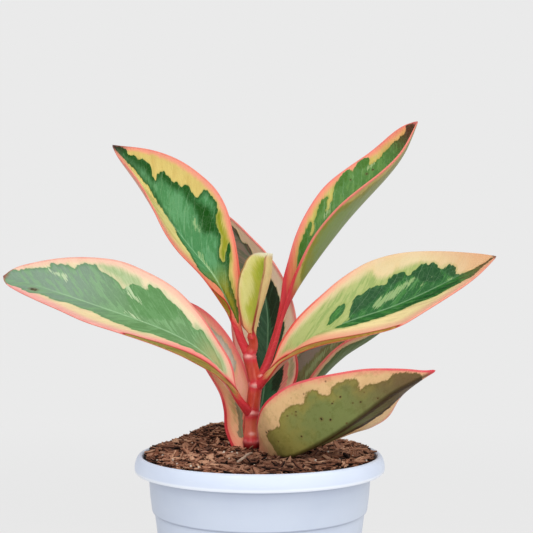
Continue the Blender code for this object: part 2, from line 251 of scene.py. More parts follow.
# faces from a ring to one point
def fan(first, sides, point):
    return [(first + k, first + (k + 1) % sides, point) for k in range(sides)]


# rings around the upright axis, closed by a point below and one above
def closeRings(lowest, rings, highest):
    sides = len(rings[0])
    verts = [lowest] + [point for ring in rings for point in ring] + [highest]
    last = len(verts) - 1
    faces = fan(1, sides, 0) + stitch(len(rings), sides, 1) + fan(last - sides, sides, last)
    return verts, faces


# a tube along its centre line, with a size for every side of every ring
def growTube(centre, size, turnedTo):
    ahead = unit(np.gradient(centre, axis=0))
    sideways = unit(np.cross(ahead, turnedTo))
    forward = np.cross(sideways, ahead)
    count, sides = size.shape
    angle = fullTurn(sides)
    verts = (centre[:, None] + sideways[:, None] * (np.cos(angle) * size)[..., None]
             + forward[:, None] * (np.sin(angle) * size)[..., None]).reshape(-1, 3)
    ends = [tuple(range(sides)), tuple(range((count - 1) * sides, count * sides))]
    return verts, ends + stitch(count, sides)


def addPiece(name, verts, faces, material, node=None, slot=None, smooth=True):
    mesh = bpy.data.meshes.new(name)
    mesh.from_pydata((np.asarray(verts, float) * mm).tolist(), [], faces)
    mesh.materials.append(material)
    piece = bpy.data.objects.new(name, mesh)
    scene.collection.objects.link(piece)
    mesh.polygons.foreach_set("use_smooth", [smooth] * len(mesh.polygons))
    shell = bmesh.new()
    shell.from_mesh(mesh)
    bmesh.ops.recalc_face_normals(shell, faces=shell.faces)
    shell.to_mesh(mesh)
    shell.free()
    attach(piece, "root")
    if node:
        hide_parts(node)
    return piece


def keep(piece, name, vectors):
    layer = piece.data.attributes.new(name, "FLOAT_VECTOR", "POINT")
    layer.data.foreach_set("vector", np.asarray(vectors, np.float32).ravel())


# how every blade is built, in mm and degrees; along the midrib, in shares of its length
blade = {
    "frames": 20, "between": 8,             # cross-sections that set the form, and steps from one to the next
    "across": 20,
    "thick": 1.3, "edge": 0.7, "cupping": 12.0,
    "thinFrom": 0.88, "thinBy": 0.45,       # toward the tip
    "keel": 1.5, "keelReach": 2.0, "keelEnd": 0.6,     # under the midrib, where the blade is thickest
    "groove": 0.08, "grooveReach": 1.1,     # over the midrib
    "upright": 1.6,                         # over this width the thickness turns square to the blade
    "stalk": 1.75, "channel": 0.95,         # radius of a stalk and the depth of its groove
    "stalkLip": 12.0,                       # the blade's edge starts this far round from the stalk's side
    "opening": 0.1,                         # past the stalk, until the blade is fully open
    "collar": 0.22, "collarReach": 3.0,     # how much wider a stalk is where it leaves the stem
    "nib": 0.7,                             # how far the last point stands out at the tip
    # points round the edge: their angle, and how far they are turned to the underside
    "edgeTurns": ((60, 0.25), (0, 0.5), (-60, 0.75)),
    # side veins run forward this many mm for each mm outward, and bend outward with distance
    "veinLean": 1.6, "veinBend": 0.02, "veinSpacing": 6.0,
}


# signed distance in mm to smooth closed outlines, positive inside
def insideDistance(outlines, places, toFlat):
    best = np.full(len(places), -50.0)
    for outline in outlines:
        rows = np.array(outline, float)
        ring = smoothThrough(np.vstack([rows[-2:], rows, rows[:2]]), 4)[8:-8]
        ring = toFlat(ring[:, 0], ring[:, 1])
        a, b = ring, np.roll(ring, -1, axis=0)
        run = b - a
        offset = places[:, None, :] - a[None]
        t = np.clip((offset * run).sum(-1) / np.maximum((run * run).sum(-1), 1e-9), 0.0, 1.0)
        away = np.linalg.norm(offset - t[..., None] * run, axis=-1).min(1)
        rise = np.where(run[:, 1] == 0, 1e-9, run[:, 1])
        crosses = (a[:, 1] > places[:, None, 1]) != (b[:, 1] > places[:, None, 1])
        slant = run[:, 0] * (places[:, None, 1] - a[:, 1]) / rise + a[:, 0]
        inside = (crosses & (places[:, None, 0] < slant)).sum(1) % 2 == 1
        best = np.maximum(best, np.where(inside, away, -away))
    return best


# the midrib's points with the ways ahead, outward and up at each
def followMidrib(leaf):
    frameShare = np.linspace(0, 1, blade["frames"])
    path = smoothThrough(leaf["path"], 40)
    run = np.concatenate([[0], np.cumsum(np.linalg.norm(np.diff(path, axis=0), axis=1))])
    length = run[-1]
    centres = np.stack([np.interp(frameShare * length, run, path[:, k]) for k in range(3)], 1)
    aheads = unit(np.gradient(centres, axis=0))
    last = len(leaf["face"]) - 1
    looks = np.stack(readTable([(k / last, *way) for k, way in enumerate(leaf["face"])], frameShare), 1)
    smooth = smoothThrough(np.hstack([centres, aheads, looks]), blade["between"])
    middle, ahead, look = smooth[:, :3], unit(smooth[:, 3:6]), smooth[:, 6:]
    up = unit(look - ahead * (look * ahead).sum(1, keepdims=True))
    return length, middle, ahead, np.cross(ahead, up), up


# one half, from the midrib over the top to the edge and back underneath: for each point its x and y in
# all cross-sections, its place across the blade and how far it is turned to the underside
def growHalf(leaf, side, width, fold, share, length):
    t = np.linspace(0, 1, blade["across"] + 1)[None]
    taper = (1 - blade["thinBy"] * ramp(blade["thinFrom"], 1.0, share))[:, None]
    slope = np.radians(fold[:, None] + blade["cupping"] * (2 * t - 1))
    c, s = np.cos(slope), np.sin(slope)
    piece = width[:, None] / blade["across"] / 2
    x, y = (np.hstack([np.zeros((len(share), 1)), np.cumsum((way[:, 1:] + way[:, :-1]) * piece, axis=1)])
            for way in (c, s))
    flat = width[:, None] * t
    turn = ramp(0, blade["upright"], flat)
    lean = np.stack([-s * turn, 1 - (1 - c) * turn])
    leanX, leanY = lean / np.hypot(*lean)
    half = (blade["thick"] * (1 - t) + blade["edge"] * t) / 2 * taper
    groove = blade["groove"] * swell(flat, blade["grooveReach"]) * taper * ramp(2, 8, width)[:, None]
    keel = np.maximum(blade["thick"] / 2, blade["keel"] * (1 - share / blade["keelEnd"]))[:, None] * taper
    below = half + (keel - half) * swell(flat, blade["keelReach"])

    # the stalk is a grooved rod that opens into the blade
    collar = leaf.get("collar", blade["collar"])
    stalk = blade["stalk"] * (1 + collar * swell(share * length, blade["collarReach"]))[:, None]
    around = np.radians(90 - (90 - blade["stalkLip"]) * t)
    dent = blade["channel"] * (1 - t) ** 1.5 * ramp(0, 1, share / max(leaf["stalk"], 0.03))[:, None]
    spread = ramp(leaf["stalk"] * 0.5, leaf["stalk"] + blade["opening"], share)[:, None]

    def opened(stalkX, stalkY, bladeX, bladeY):
        return side * (stalkX + (bladeX - stalkX) * spread), stalkY + (bladeY - stalkY) * spread

    rodX, rodY, above = stalk * np.cos(around), stalk * np.sin(around), half - groove
    upperX, upperY = opened(rodX, rodY - dent, x + leanX * above, y + leanY * above)
    lowerX, lowerY = opened(rodX, -rodY, x - leanX * below, y - leanY * below)
    steps = range(blade["across"] + 1)
    points = [(upperX[:, j], upperY[:, j], side * t[0, j], 0.0) for j in steps]
    for angle, turned in blade["edgeTurns"]:
        a, b = math.radians(angle), math.radians(angle / 90 * blade["stalkLip"])
        rimX, rimY = opened(stalk * math.cos(b), stalk * math.sin(b),
                            x[:, -1:] + (c[:, -1:] * math.cos(a) - s[:, -1:] * math.sin(a)) * half[:, -1:],
                            y[:, -1:] + (s[:, -1:] * math.cos(a) + c[:, -1:] * math.sin(a)) * half[:, -1:])
        points.append((rimX[:, 0], rimY[:, 0], side, turned))
    points += [(lowerX[:, j], lowerY[:, j], side * t[0, j], 1.0) for j in reversed(steps)]
    return points


def growLeaf(leaf):
    length, middle, ahead, out, up = followMidrib(leaf)
    share = np.linspace(0, 1, len(middle))
    left, right = (readTable(leaf[name], share) for name in ("left", "right"))
    other = growHalf(leaf, -1, *left, share, length)[-2:0:-1]
    cut = len(other) - blade["across"]       # where the left half's underside ends and its top begins
    points = other[cut:] + growHalf(leaf, 1, *right, share, length) + other[:cut]
    ringX, ringY = (np.stack([point[k] for point in points], 1) for k in (0, 1))
    across, under = (np.array([point[k] for point in points]) for k in (2, 3))
    verts = middle[:, None] + out[:, None] * ringX[..., None] + up[:, None] * ringY[..., None]
    perRing, rings = len(points), len(share)
    verts = np.vstack([verts.reshape(-1, 3), middle[-1] + ahead[-1] * leaf.get("nib", blade["nib"])])
    faces = [tuple(range(perRing))] + stitch(rings, perRing)
    faces += fan((rings - 1) * perRing, perRing, rings * perRing)

    # places on the flattened blade, in mm
    def toFlat(along, over):
        wide = np.where(over < 0, np.interp(along, share, left[0]), np.interp(along, share, right[0]))
        return np.stack([along * length, over * wide], -1)

    spots = [(*toFlat(along, np.array(over)).tolist(), size) for along, over, size in leaf.get("spots", [])]
    piece = addPiece(leaf["name"], verts, faces, bladeFinish(leaf, spots), leaf["node"], leaf["slot"])

    # what the finish reads at every point
    along = np.repeat(share, perRing)
    over = np.tile(across, rings)
    places = toFlat(along, over)
    wide = np.where(over < 0, np.repeat(left[0], perRing), np.repeat(right[0], perRing))
    rim = np.minimum((1 - np.abs(over)) * wide, (1 - along) * length * 0.7)
    zones = {key: insideDistance(leaf.get(key, []), places, toFlat)
             for key in ("lime", "green", "deep", "pale", "belly")}
    distance = np.abs(places[:, 1])
    vein = places[:, 0] - blade["veinLean"] * distance + blade["veinBend"] * distance ** 2
    layers = {
        "place": (along, rim, zones["pale"]),
        "zones": (zones["lime"], zones["green"], zones["deep"]),
        "grain": (vein, distance, places[:, 1] * 0.12 + leaf["seed"] * 7),
        "flat": (places[:, 0], places[:, 1], np.tile(under, rings)),
        "turned": (zones["belly"], over, wide),
    }
    for key, rows in layers.items():
        rows = np.stack(rows, 1)
        keep(piece, key, np.vstack([rows, rows[-1:]]))
    print("leaf:", leaf["name"], "length", round(length, 1), "mm")


# grain of a blade's finish: how noise is stretched on the blade, its detail and roughness, or its scale
bladeGrain = {
    "fibre": ((1.3, 0.13, 1.0), 4.0, 0.62),      # runs with the side veins
    "cloud": ((0.17, 0.08, 1.0), 3.0, 0.55),
    "sheet": ((0.36, 0.11, 1.3), 4.0, 0.6),
    "lobe": (0.52, 0.38, 1.0),                   # rounded scallops
    "tooth": 1100.0, "speck": 2600.0, "net": 420.0, "blot": 210.0, "stain": 360.0, "pit": 230.0,
}


# colours of a blade, from the margin inward, above and underneath
def bladeFinish(leaf, spots):
    look = dict(usualBlade, **leaf["look"])
    p = Paint(leaf["name"], {"Coat Weight": look["coat"], "Coat Roughness": 0.24, "IOR": 1.42,
                             "Specular IOR Level": look["gloss"]})
    share, rim, pale = p.attribute("place").parts()
    lime, green, deep = p.attribute("zones").parts()
    belly = p.attribute("turned").parts()[0]
    grain = p.attribute("grain")
    vein, distance = grain.parts()[:2]
    flat = p.attribute("flat")
    across, under = flat.parts()[1:]
    here = p.place()

    # a named colour laid over another one
    def lay(beneath, name, mask):
        return p.over(beneath, tone(look[name]), mask)

    # noise that follows the blade
    def along(name):
        stretch, detail, rough = bladeGrain[name]
        return p.noise(grain.scaled(*stretch), 1.0, detail, rough)

    fibre = along("fibre") - 0.5
    cloud = along("cloud")
    sheet = along("sheet")
    lobe = 0.45 - p.cells(grain.scaled(*bladeGrain["lobe"]), 1.0)
    tooth = p.noise(here, bladeGrain["tooth"], 3.0) - 0.5
    speck = p.noise(here, bladeGrain["speck"])

    edge = green + lobe * look["lobes"] + fibre * look["ragged"] + tooth * 0.3
    greenMask = edge.step(-look["crisp"], look["crisp"])
    limeMask = (lime + fibre * look["limeRagged"] + (cloud - 0.5) * 3.0).step(-1.6, 1.8) * look["limeAmount"]
    deepMask = (deep + lobe * 1.2 + fibre * 3.0 + tooth * 0.6).step(-look["deepSoft"], look["deepSoft"])
    paleMask = (pale + fibre * look["paleRagged"] + lobe * 0.8 + tooth * 1.0).step(-0.3, 0.3)

    # margin and the pale band inside it; near the base the belly shows past the turned edge
    rightward = across.step(-0.4, 0.4)
    seam = abs(belly)
    rim = rim.least(seam)
    band = rim + (cloud - 0.5) * 2.6 + fibre * 1.6
    leftCream, rightCream = look["cream"]
    colour = p.over(tone(leftCream), tone(rightCream), rightward)
    colour = lay(colour, "creamShade", cloud.step(0.42, 0.68) * 0.7)
    limeTone = lay(tone(look["lime"]), "limeShade", (sheet + fibre * 0.5).step(0.46, 0.6) * 0.8)
    colour = p.over(colour, limeTone, limeMask)
    colour = lay(colour, "halo", edge.step(-look["haloWidth"], 0.0) * look["haloAmount"])
    (leftWide, rightWide), (leftRed, rightRed) = look["blushWide"], look["blushRed"]
    wide = leftWide + rightward * (rightWide - leftWide)
    blushMask = (band / wide).step(1.0, 0.25) * (leftRed + rightward * (rightRed - leftRed))
    faded = share.step(0.36, 0.62) * (1.0 - rightward) * look["leftFade"]
    blushTone = lay(tone(look["blush"]), "blushBase", share.step(0.6, 0.2))
    colour = p.over(colour, blushTone, blushMask * (1.0 - faded))
    nearBase = (share + fibre * 0.12).step(look["baseRed"] + look["baseBlush"], look["baseRed"])
    colour = lay(colour, "blushBase", nearBase * 0.75)
    colour = lay(colour, "creamFar", (share + fibre * 0.08).step(0.74, 1.0) * look["creamFade"])

    # green patches in their shades
    light = (sheet + fibre * 0.3).step(0.5, 0.5 + look["soft"]) * look["layered"]
    dry = (share + fibre * 0.1).step(look["dryFrom"], 0.97) * look["dry"]
    patch = lay(tone(look["green"]), "greenFar", share.step(look["farFrom"], look["farFrom"] + 0.3))
    patch = lay(patch, "greenLight", light)
    patch = lay(patch, "greenBase", share.step(look["baseFar"], look["baseFar"] - 0.16))
    patch = lay(patch, "greenDeep", deepMask * look["deepAmount"])
    patch = lay(patch, "greenDeep", edge.step(look["outlineWide"], 0.1) * look["outline"])
    patch = lay(patch, "greenFar", dry)
    patch = lay(patch, "ash", paleMask * (0.72 + fibre * 0.8))
    colour = p.over(colour, patch, greenMask)

    # veins
    wander = vein + (cloud - 0.5) * 7.0 + fibre * 0.6
    line = abs((wander / blade["veinSpacing"]).fraction() - 0.5)
    sideVein = line.step(0.06, 0.0) * distance.step(0.3, 1.4) * rim.step(1.5, 5.0) * share.step(0.95, 0.75)
    midVein = distance.step(0.6, 0.15) * share.step(0.97, 0.7)
    net = p.cells(here, bladeGrain["net"], "DISTANCE_TO_EDGE").step(0.09, 0.0)
    for mask, amount in ((sideVein, "veinAmount"), (net, "netAmount"), (midVein, "midAmount")):
        colour = lay(colour, "vein", mask * greenMask * look[amount])
    colour = p.tinted(colour, (0.84, 0.84, 0.84), speck.step(0.48, 0.72) * 0.45)

    # underneath
    blot = p.noise(here, bladeGrain["blot"], 4.0, 0.6)
    drift = share + (blot - 0.5) * 0.2
    beneath = lay(tone(look["underCream"]), "underBlush", (band / wide).step(1.0, 0.15) * 0.85)
    beneath = lay(beneath, "underBlush", (share + fibre * 0.1).step(0.2, 0.04) * look["underBase"])
    beneath = p.tinted(beneath, (0.86, 0.80, 0.74), blot.step(0.4, 0.7) * 0.4)
    inside = (green + (blot - 0.5) * 9.0).step(0.5, 4.5) * drift.step(0.3, 0.48)
    underPatch = lay(tone(look["underShade"]), "underGreen", inside)
    underPatch = lay(underPatch, "underFar", drift.step(0.56, 0.92))
    underEdge = green + lobe * 0.8 + fibre * 1.0 + tooth * 1.3
    underMask = underEdge.step(-0.3, 0.3)
    beneath = p.over(beneath, underPatch, underMask)
    beneath = lay(beneath, "underRim", underEdge.step(-0.5, 0.05) * underEdge.step(0.9, 0.2) * 0.45)
    # painted shade on the left half underneath, which faces down, with a band beside the keel left lighter as
    # a painted sheen
    lit = (across + fibre * 1.6).step(-1.6, -2.8) * across.step(-7.0, -5.0) * 0.45
    beneath = lay(beneath, "underLeft", across.step(0.0, -0.5) * (1.0 - lit) * underMask * look["leftAmount"])
    # painted shade in the crease along the keel
    beneath = lay(beneath, "keel", distance.step(look["keelWidth"], 0.1) * look["keelAmount"])
    stain = p.noise(here, bladeGrain["stain"], 5.0, 0.7)
    beneath = p.tinted(beneath, (0.72, 0.74, 0.62), stain.step(0.5, 0.62) * look["stain"])
    pits = p.cells(here, bladeGrain["pit"]) + tooth * 0.16
    beneath = lay(beneath, "pit", pits.step(0.13, 0.06) * blot.step(0.46, 0.56) * look["pits"])
    colour = p.over(colour, beneath, under.step(0.3, 0.7))
    for x, y, size in spots:
        away = flat.scaled(1, 1, 0).away((x, y, 0))
        colour = lay(colour, "spotRim", (away + tooth * 0.8).step(size * 2.4, size) * 0.4)
        colour = lay(colour, "spot", (away + tooth * 1.1).step(size, size * 0.55) * 0.92)

    # red margin line, the red of the stalk and a dry tip
    near = share.step(0.5, 0.2)
    line = (rim + tooth * 0.3 - near * 0.3).step(look["edgeWidth"], look["edgeWidth"] * 0.3)
    edgeMask = line * (look["edgeAmount"] + near * look["edgeNear"] + (cloud - 0.5) * 0.8) * (1.0 - faded)
    colour = p.over(colour, lay(tone(look["edge"]), "seam", near), edgeMask)
    red = lay(tone(look["stalkRed"]), "stalkPale", (fibre + 0.5).step(0.45, 0.8) * 0.6)
    stalkMask = share + fibre * 0.1 - rim.step(2.2, 0.0) * 0.06
    colour = p.over(colour, red, stalkMask.step(look["baseRed"], look["baseRed"] - 0.07))
    foot = (share + fibre * 0.06).step(look["baseRed"] + 0.03, look["baseRed"] - 0.02)
    bellyTone = lay(tone(look["belly"]), "bellyBase", (share + fibre * 0.1).step(0.26, 0.1))
    bellyTone = lay(bellyTone, "bellyShade", (sheet + fibre * 0.8).step(0.44, 0.66) * 0.8)
    bellyTone = lay(bellyTone, "stalkRed", foot)
    face = under.step(0.7, 0.4)
    fold = belly + tooth * 0.4
    colour = lay(colour, "seam", fold.step(-look["seamWidth"], -0.1) * face * 0.9)
    colour = p.over(colour, bellyTone, fold.step(0.0, 0.4) * face)
    colour = lay(colour, "seamDark", (seam + tooth * 0.3).step(0.6, 0.15) * face * 0.85)
    colour = lay(colour, "tip", (share + tooth * 0.02).step(look["tipFrom"], 1.0) * 0.9)

    rough = look["rough"] + (blot - 0.5) * 0.14 + (speck - 0.5) * 0.1
    p.relief(cloud * 0.6 + fibre * 0.06 + speck * 0.012 - sideVein * 0.03 - midVein * 0.05, 0.001)
    return p.show(Base_Color=colour, Roughness=rough)


# what a blade's finish has where the leaf's own look says nothing: colours, amounts from 0 to 1, widths in
# mm, and places in shares of the leaf's length; a pair is for the left and the right half
usualBlade = {
    "cream": ("E6D6A0", "E6D6A0"), "creamShade": "DFCB8E", "creamFar": "D0956C", "creamFade": 0.0,
    "blush": "F0A088", "blushBase": "EE8A74", "blushWide": (3.2, 3.2), "blushRed": (0.9, 0.9),
    "edge": "E0605F", "edgeWidth": 0.6, "edgeAmount": 0.55, "edgeNear": 0.5, "leftFade": 0.0,
    "lime": "B4C27A", "limeShade": "94B060", "limeAmount": 0.9, "limeRagged": 5.0,
    "halo": "B9BE72", "haloWidth": 1.1, "haloAmount": 0.5,
    "green": "3F8A4C", "greenLight": "6BA765", "greenDeep": "23662F", "greenFar": "3F8A4C",
    "greenBase": "7FA850", "farFrom": 0.7, "baseFar": 0.2, "deepAmount": 0.8, "deepSoft": 0.5,
    "layered": 0.5, "soft": 0.06, "outline": 0.45, "outlineWide": 1.5,
    "lobes": 1.1, "ragged": 0.6, "crisp": 0.18, "ash": "A9C48F", "paleRagged": 5.0,
    "vein": "A7CDA0", "veinAmount": 0.16, "netAmount": 0.05, "midAmount": 0.3,
    "baseRed": 0.12, "baseBlush": 0.18, "stalkRed": "C8323A", "stalkPale": "E0605A",
    "belly": "9A7E38", "bellyBase": "C89A68", "bellyShade": "6E6420",
    "seam": "C8343C", "seamWidth": 0.9, "seamDark": "8E2420",
    "underCream": "CBA97A", "underBlush": "E58E78", "underGreen": "7C8A5A", "underShade": "6E7638",
    "underFar": "7A6F52", "underRim": "6A5A2C", "underLeft": "5A5A34", "leftAmount": 0.0,
    "underBase": 0.3, "keel": "6A5A34", "keelWidth": 1.2, "keelAmount": 0.0,
    "stain": 0.25, "pit": "54381F", "pits": 0.0, "spot": "2A1A12", "spotRim": "6A4A28",
    "dry": 0.0, "dryFrom": 0.86, "tip": "6E4A36", "tipFrom": 0.985,
    "rough": 0.42, "coat": 0.03, "gloss": 0.24,
}

# each leaf: its midrib's path in mm, how much of it is stalk, each half as rows of place along, width in mm
# and fold in degrees, and the ways its face looks; then outlines of its patches as places along and across,
# in shares of the length and of the half's width, and spots with their radius in mm
rightLeaf = {
    "name": "right_leaf", "node": "leaf_right", "slot": "leaf_blade", "seed": 1,
    "path": [(-1.0, -0.6, 114.8), (3.6, -4.6, 119.8), (10, -8, 126), (20.5, -11, 134.5), (35.5, -13, 141),
             (52, -13, 146.5), (67, -12, 153), (81, -10, 160), (93.6, -8, 166.7)],
    "stalk": 0.08,
    "left": [(0, 2, 40), (0.1, 4, 32), (0.15, 5.8, 29), (0.25, 10, 26), (0.35, 14.5, 25), (0.45, 18.5, 27),
             (0.55, 21, 29), (0.65, 20.5, 30), (0.75, 17.5, 30), (0.85, 12, 30), (0.95, 4.8, 30),
             (1, 0.5, 30)],
    "right": [(0, 2, 50), (0.1, 4, 43), (0.15, 5.8, 38), (0.25, 10, 24), (0.35, 14.5, 22), (0.45, 18.5, 22),
              (0.55, 21, 24), (0.65, 20.5, 29), (0.75, 17.5, 31), (0.85, 12, 30), (0.95, 4.8, 29),
              (1, 0.5, 29)],
    "face": [(-0.4, -0.5, 0.8), (-0.3, -0.65, 0.7), (-0.3, -0.7, 0.7)],
    "lime": [[(0.08, -0.45), (0.14, -0.68), (0.17, -0.72), (0.25, -0.7), (0.33, -0.76), (0.42, -0.78),
              (0.50, -0.80), (0.56, -0.82), (0.575, -0.68), (0.62, -0.62), (0.68, -0.70), (0.74, -0.72),
              (0.76, -0.6), (0.6, -0.2), (0.5, 0.2), (0.38, 0.22), (0.28, 0.14), (0.2, 0.0)]],
    "green": [[(0.345, -0.10), (0.352, -0.24), (0.372, -0.38), (0.395, -0.47), (0.425, -0.48),
               (0.437, -0.42), (0.42, -0.30), (0.39, -0.20), (0.362, -0.12)],
              [(0.37, 0.10), (0.39, 0.0), (0.41, -0.03), (0.43, -0.08), (0.433, -0.2), (0.45, -0.36),
               (0.475, -0.47), (0.51, -0.50), (0.55, -0.53), (0.575, -0.52), (0.60, -0.49), (0.615, -0.56),
               (0.65, -0.62), (0.68, -0.61), (0.69, -0.52), (0.70, -0.50), (0.712, -0.58), (0.74, -0.64),
               (0.765, -0.70), (0.775, -0.64), (0.792, -0.67), (0.805, -0.60), (0.806, -0.48),
               (0.816, -0.40), (0.828, -0.46), (0.845, -0.50), (0.857, -0.42), (0.852, -0.25),
               (0.842, -0.12), (0.85, -0.05), (0.875, 0.0), (0.90, 0.08), (0.95, 0.1), (1.0, -0.1),
               (1.0, 0.6), (0.96, 0.55), (0.92, 0.58), (0.89, 0.72), (0.865, 0.72), (0.84, 0.6),
               (0.81, 0.52), (0.78, 0.46), (0.72, 0.44), (0.68, 0.34), (0.64, 0.28), (0.58, 0.26),
               (0.50, 0.25), (0.45, 0.25), (0.40, 0.22)]],
    "deep": [[(0.70, -0.5), (0.74, -0.62), (0.79, -0.66), (0.805, -0.5), (0.80, -0.2), (0.76, -0.15),
              (0.72, -0.3)],
             [(0.455, -0.36), (0.5, -0.48), (0.56, -0.5), (0.59, -0.42), (0.55, -0.3), (0.48, -0.15),
              (0.44, -0.15)],
             [(0.61, -0.5), (0.65, -0.6), (0.68, -0.58), (0.67, -0.47), (0.62, -0.42)],
             [(0.82, -0.4), (0.845, -0.48), (0.855, -0.35), (0.84, -0.15), (0.825, -0.1), (0.815, -0.25)],
             [(0.6, 0.14), (0.7, 0.17), (0.8, 0.2), (0.86, 0.3), (0.8, 0.36), (0.7, 0.3), (0.6, 0.2)]],
    "pale": [[(0.515, -0.12), (0.535, -0.22), (0.56, -0.27), (0.60, -0.30), (0.64, -0.36), (0.68, -0.40),
              (0.71, -0.42), (0.70, -0.36), (0.67, -0.30), (0.64, -0.24), (0.60, -0.18), (0.56, -0.12),
              (0.53, -0.09)],
             [(0.70, -0.20), (0.73, -0.24), (0.76, -0.29), (0.73, -0.21)],
             [(0.80, -0.02), (0.815, -0.06), (0.825, -0.02), (0.81, 0.0)]],
    "belly": [[(-0.1, -1.5), (0.06, -1.5), (0.075, -1.0), (0.085, -0.5), (0.1, -0.34), (0.13, -0.26),
               (0.16, -0.1), (0.19, 0.12), (0.22, 0.32), (0.25, 0.46), (0.30, 0.62), (0.35, 0.74),
               (0.44, 0.86), (0.56, 1.02), (0.5, 1.6), (0.2, 1.6), (-0.1, 1.5)]],
    "look": {"green": "1D5C24", "greenLight": "488A3C", "greenDeep": "0E421A", "greenFar": "5A3E1C",
             "farFrom": 0.82, "dry": 0.85, "dryFrom": 0.82, "greenBase": "4E8C38", "baseFar": 0.45,
             "ash": "9AB679", "cream": ("DCC99C", "F2DCA2"), "creamShade": "DCC290", "lime": "A5B46C",
             "limeShade": "7E9E50", "limeRagged": 2.0, "halo": "93A658", "haloWidth": 1.6,
             "blush": "F6B49C", "blushBase": "F0967E", "blushWide": (3.0, 9.0), "blushRed": (0.85, 0.84),
             "leftFade": 0.85, "creamFade": 0.75, "edge": "E0766C", "seam": "D8483E", "edgeAmount": 0.45,
             "baseRed": 0.06, "baseBlush": 0.17, "belly": "9A6E1E", "bellyBase": "D8A468",
             "bellyShade": "B08A40", "seamWidth": 1.5, "deepSoft": 0.7},
}

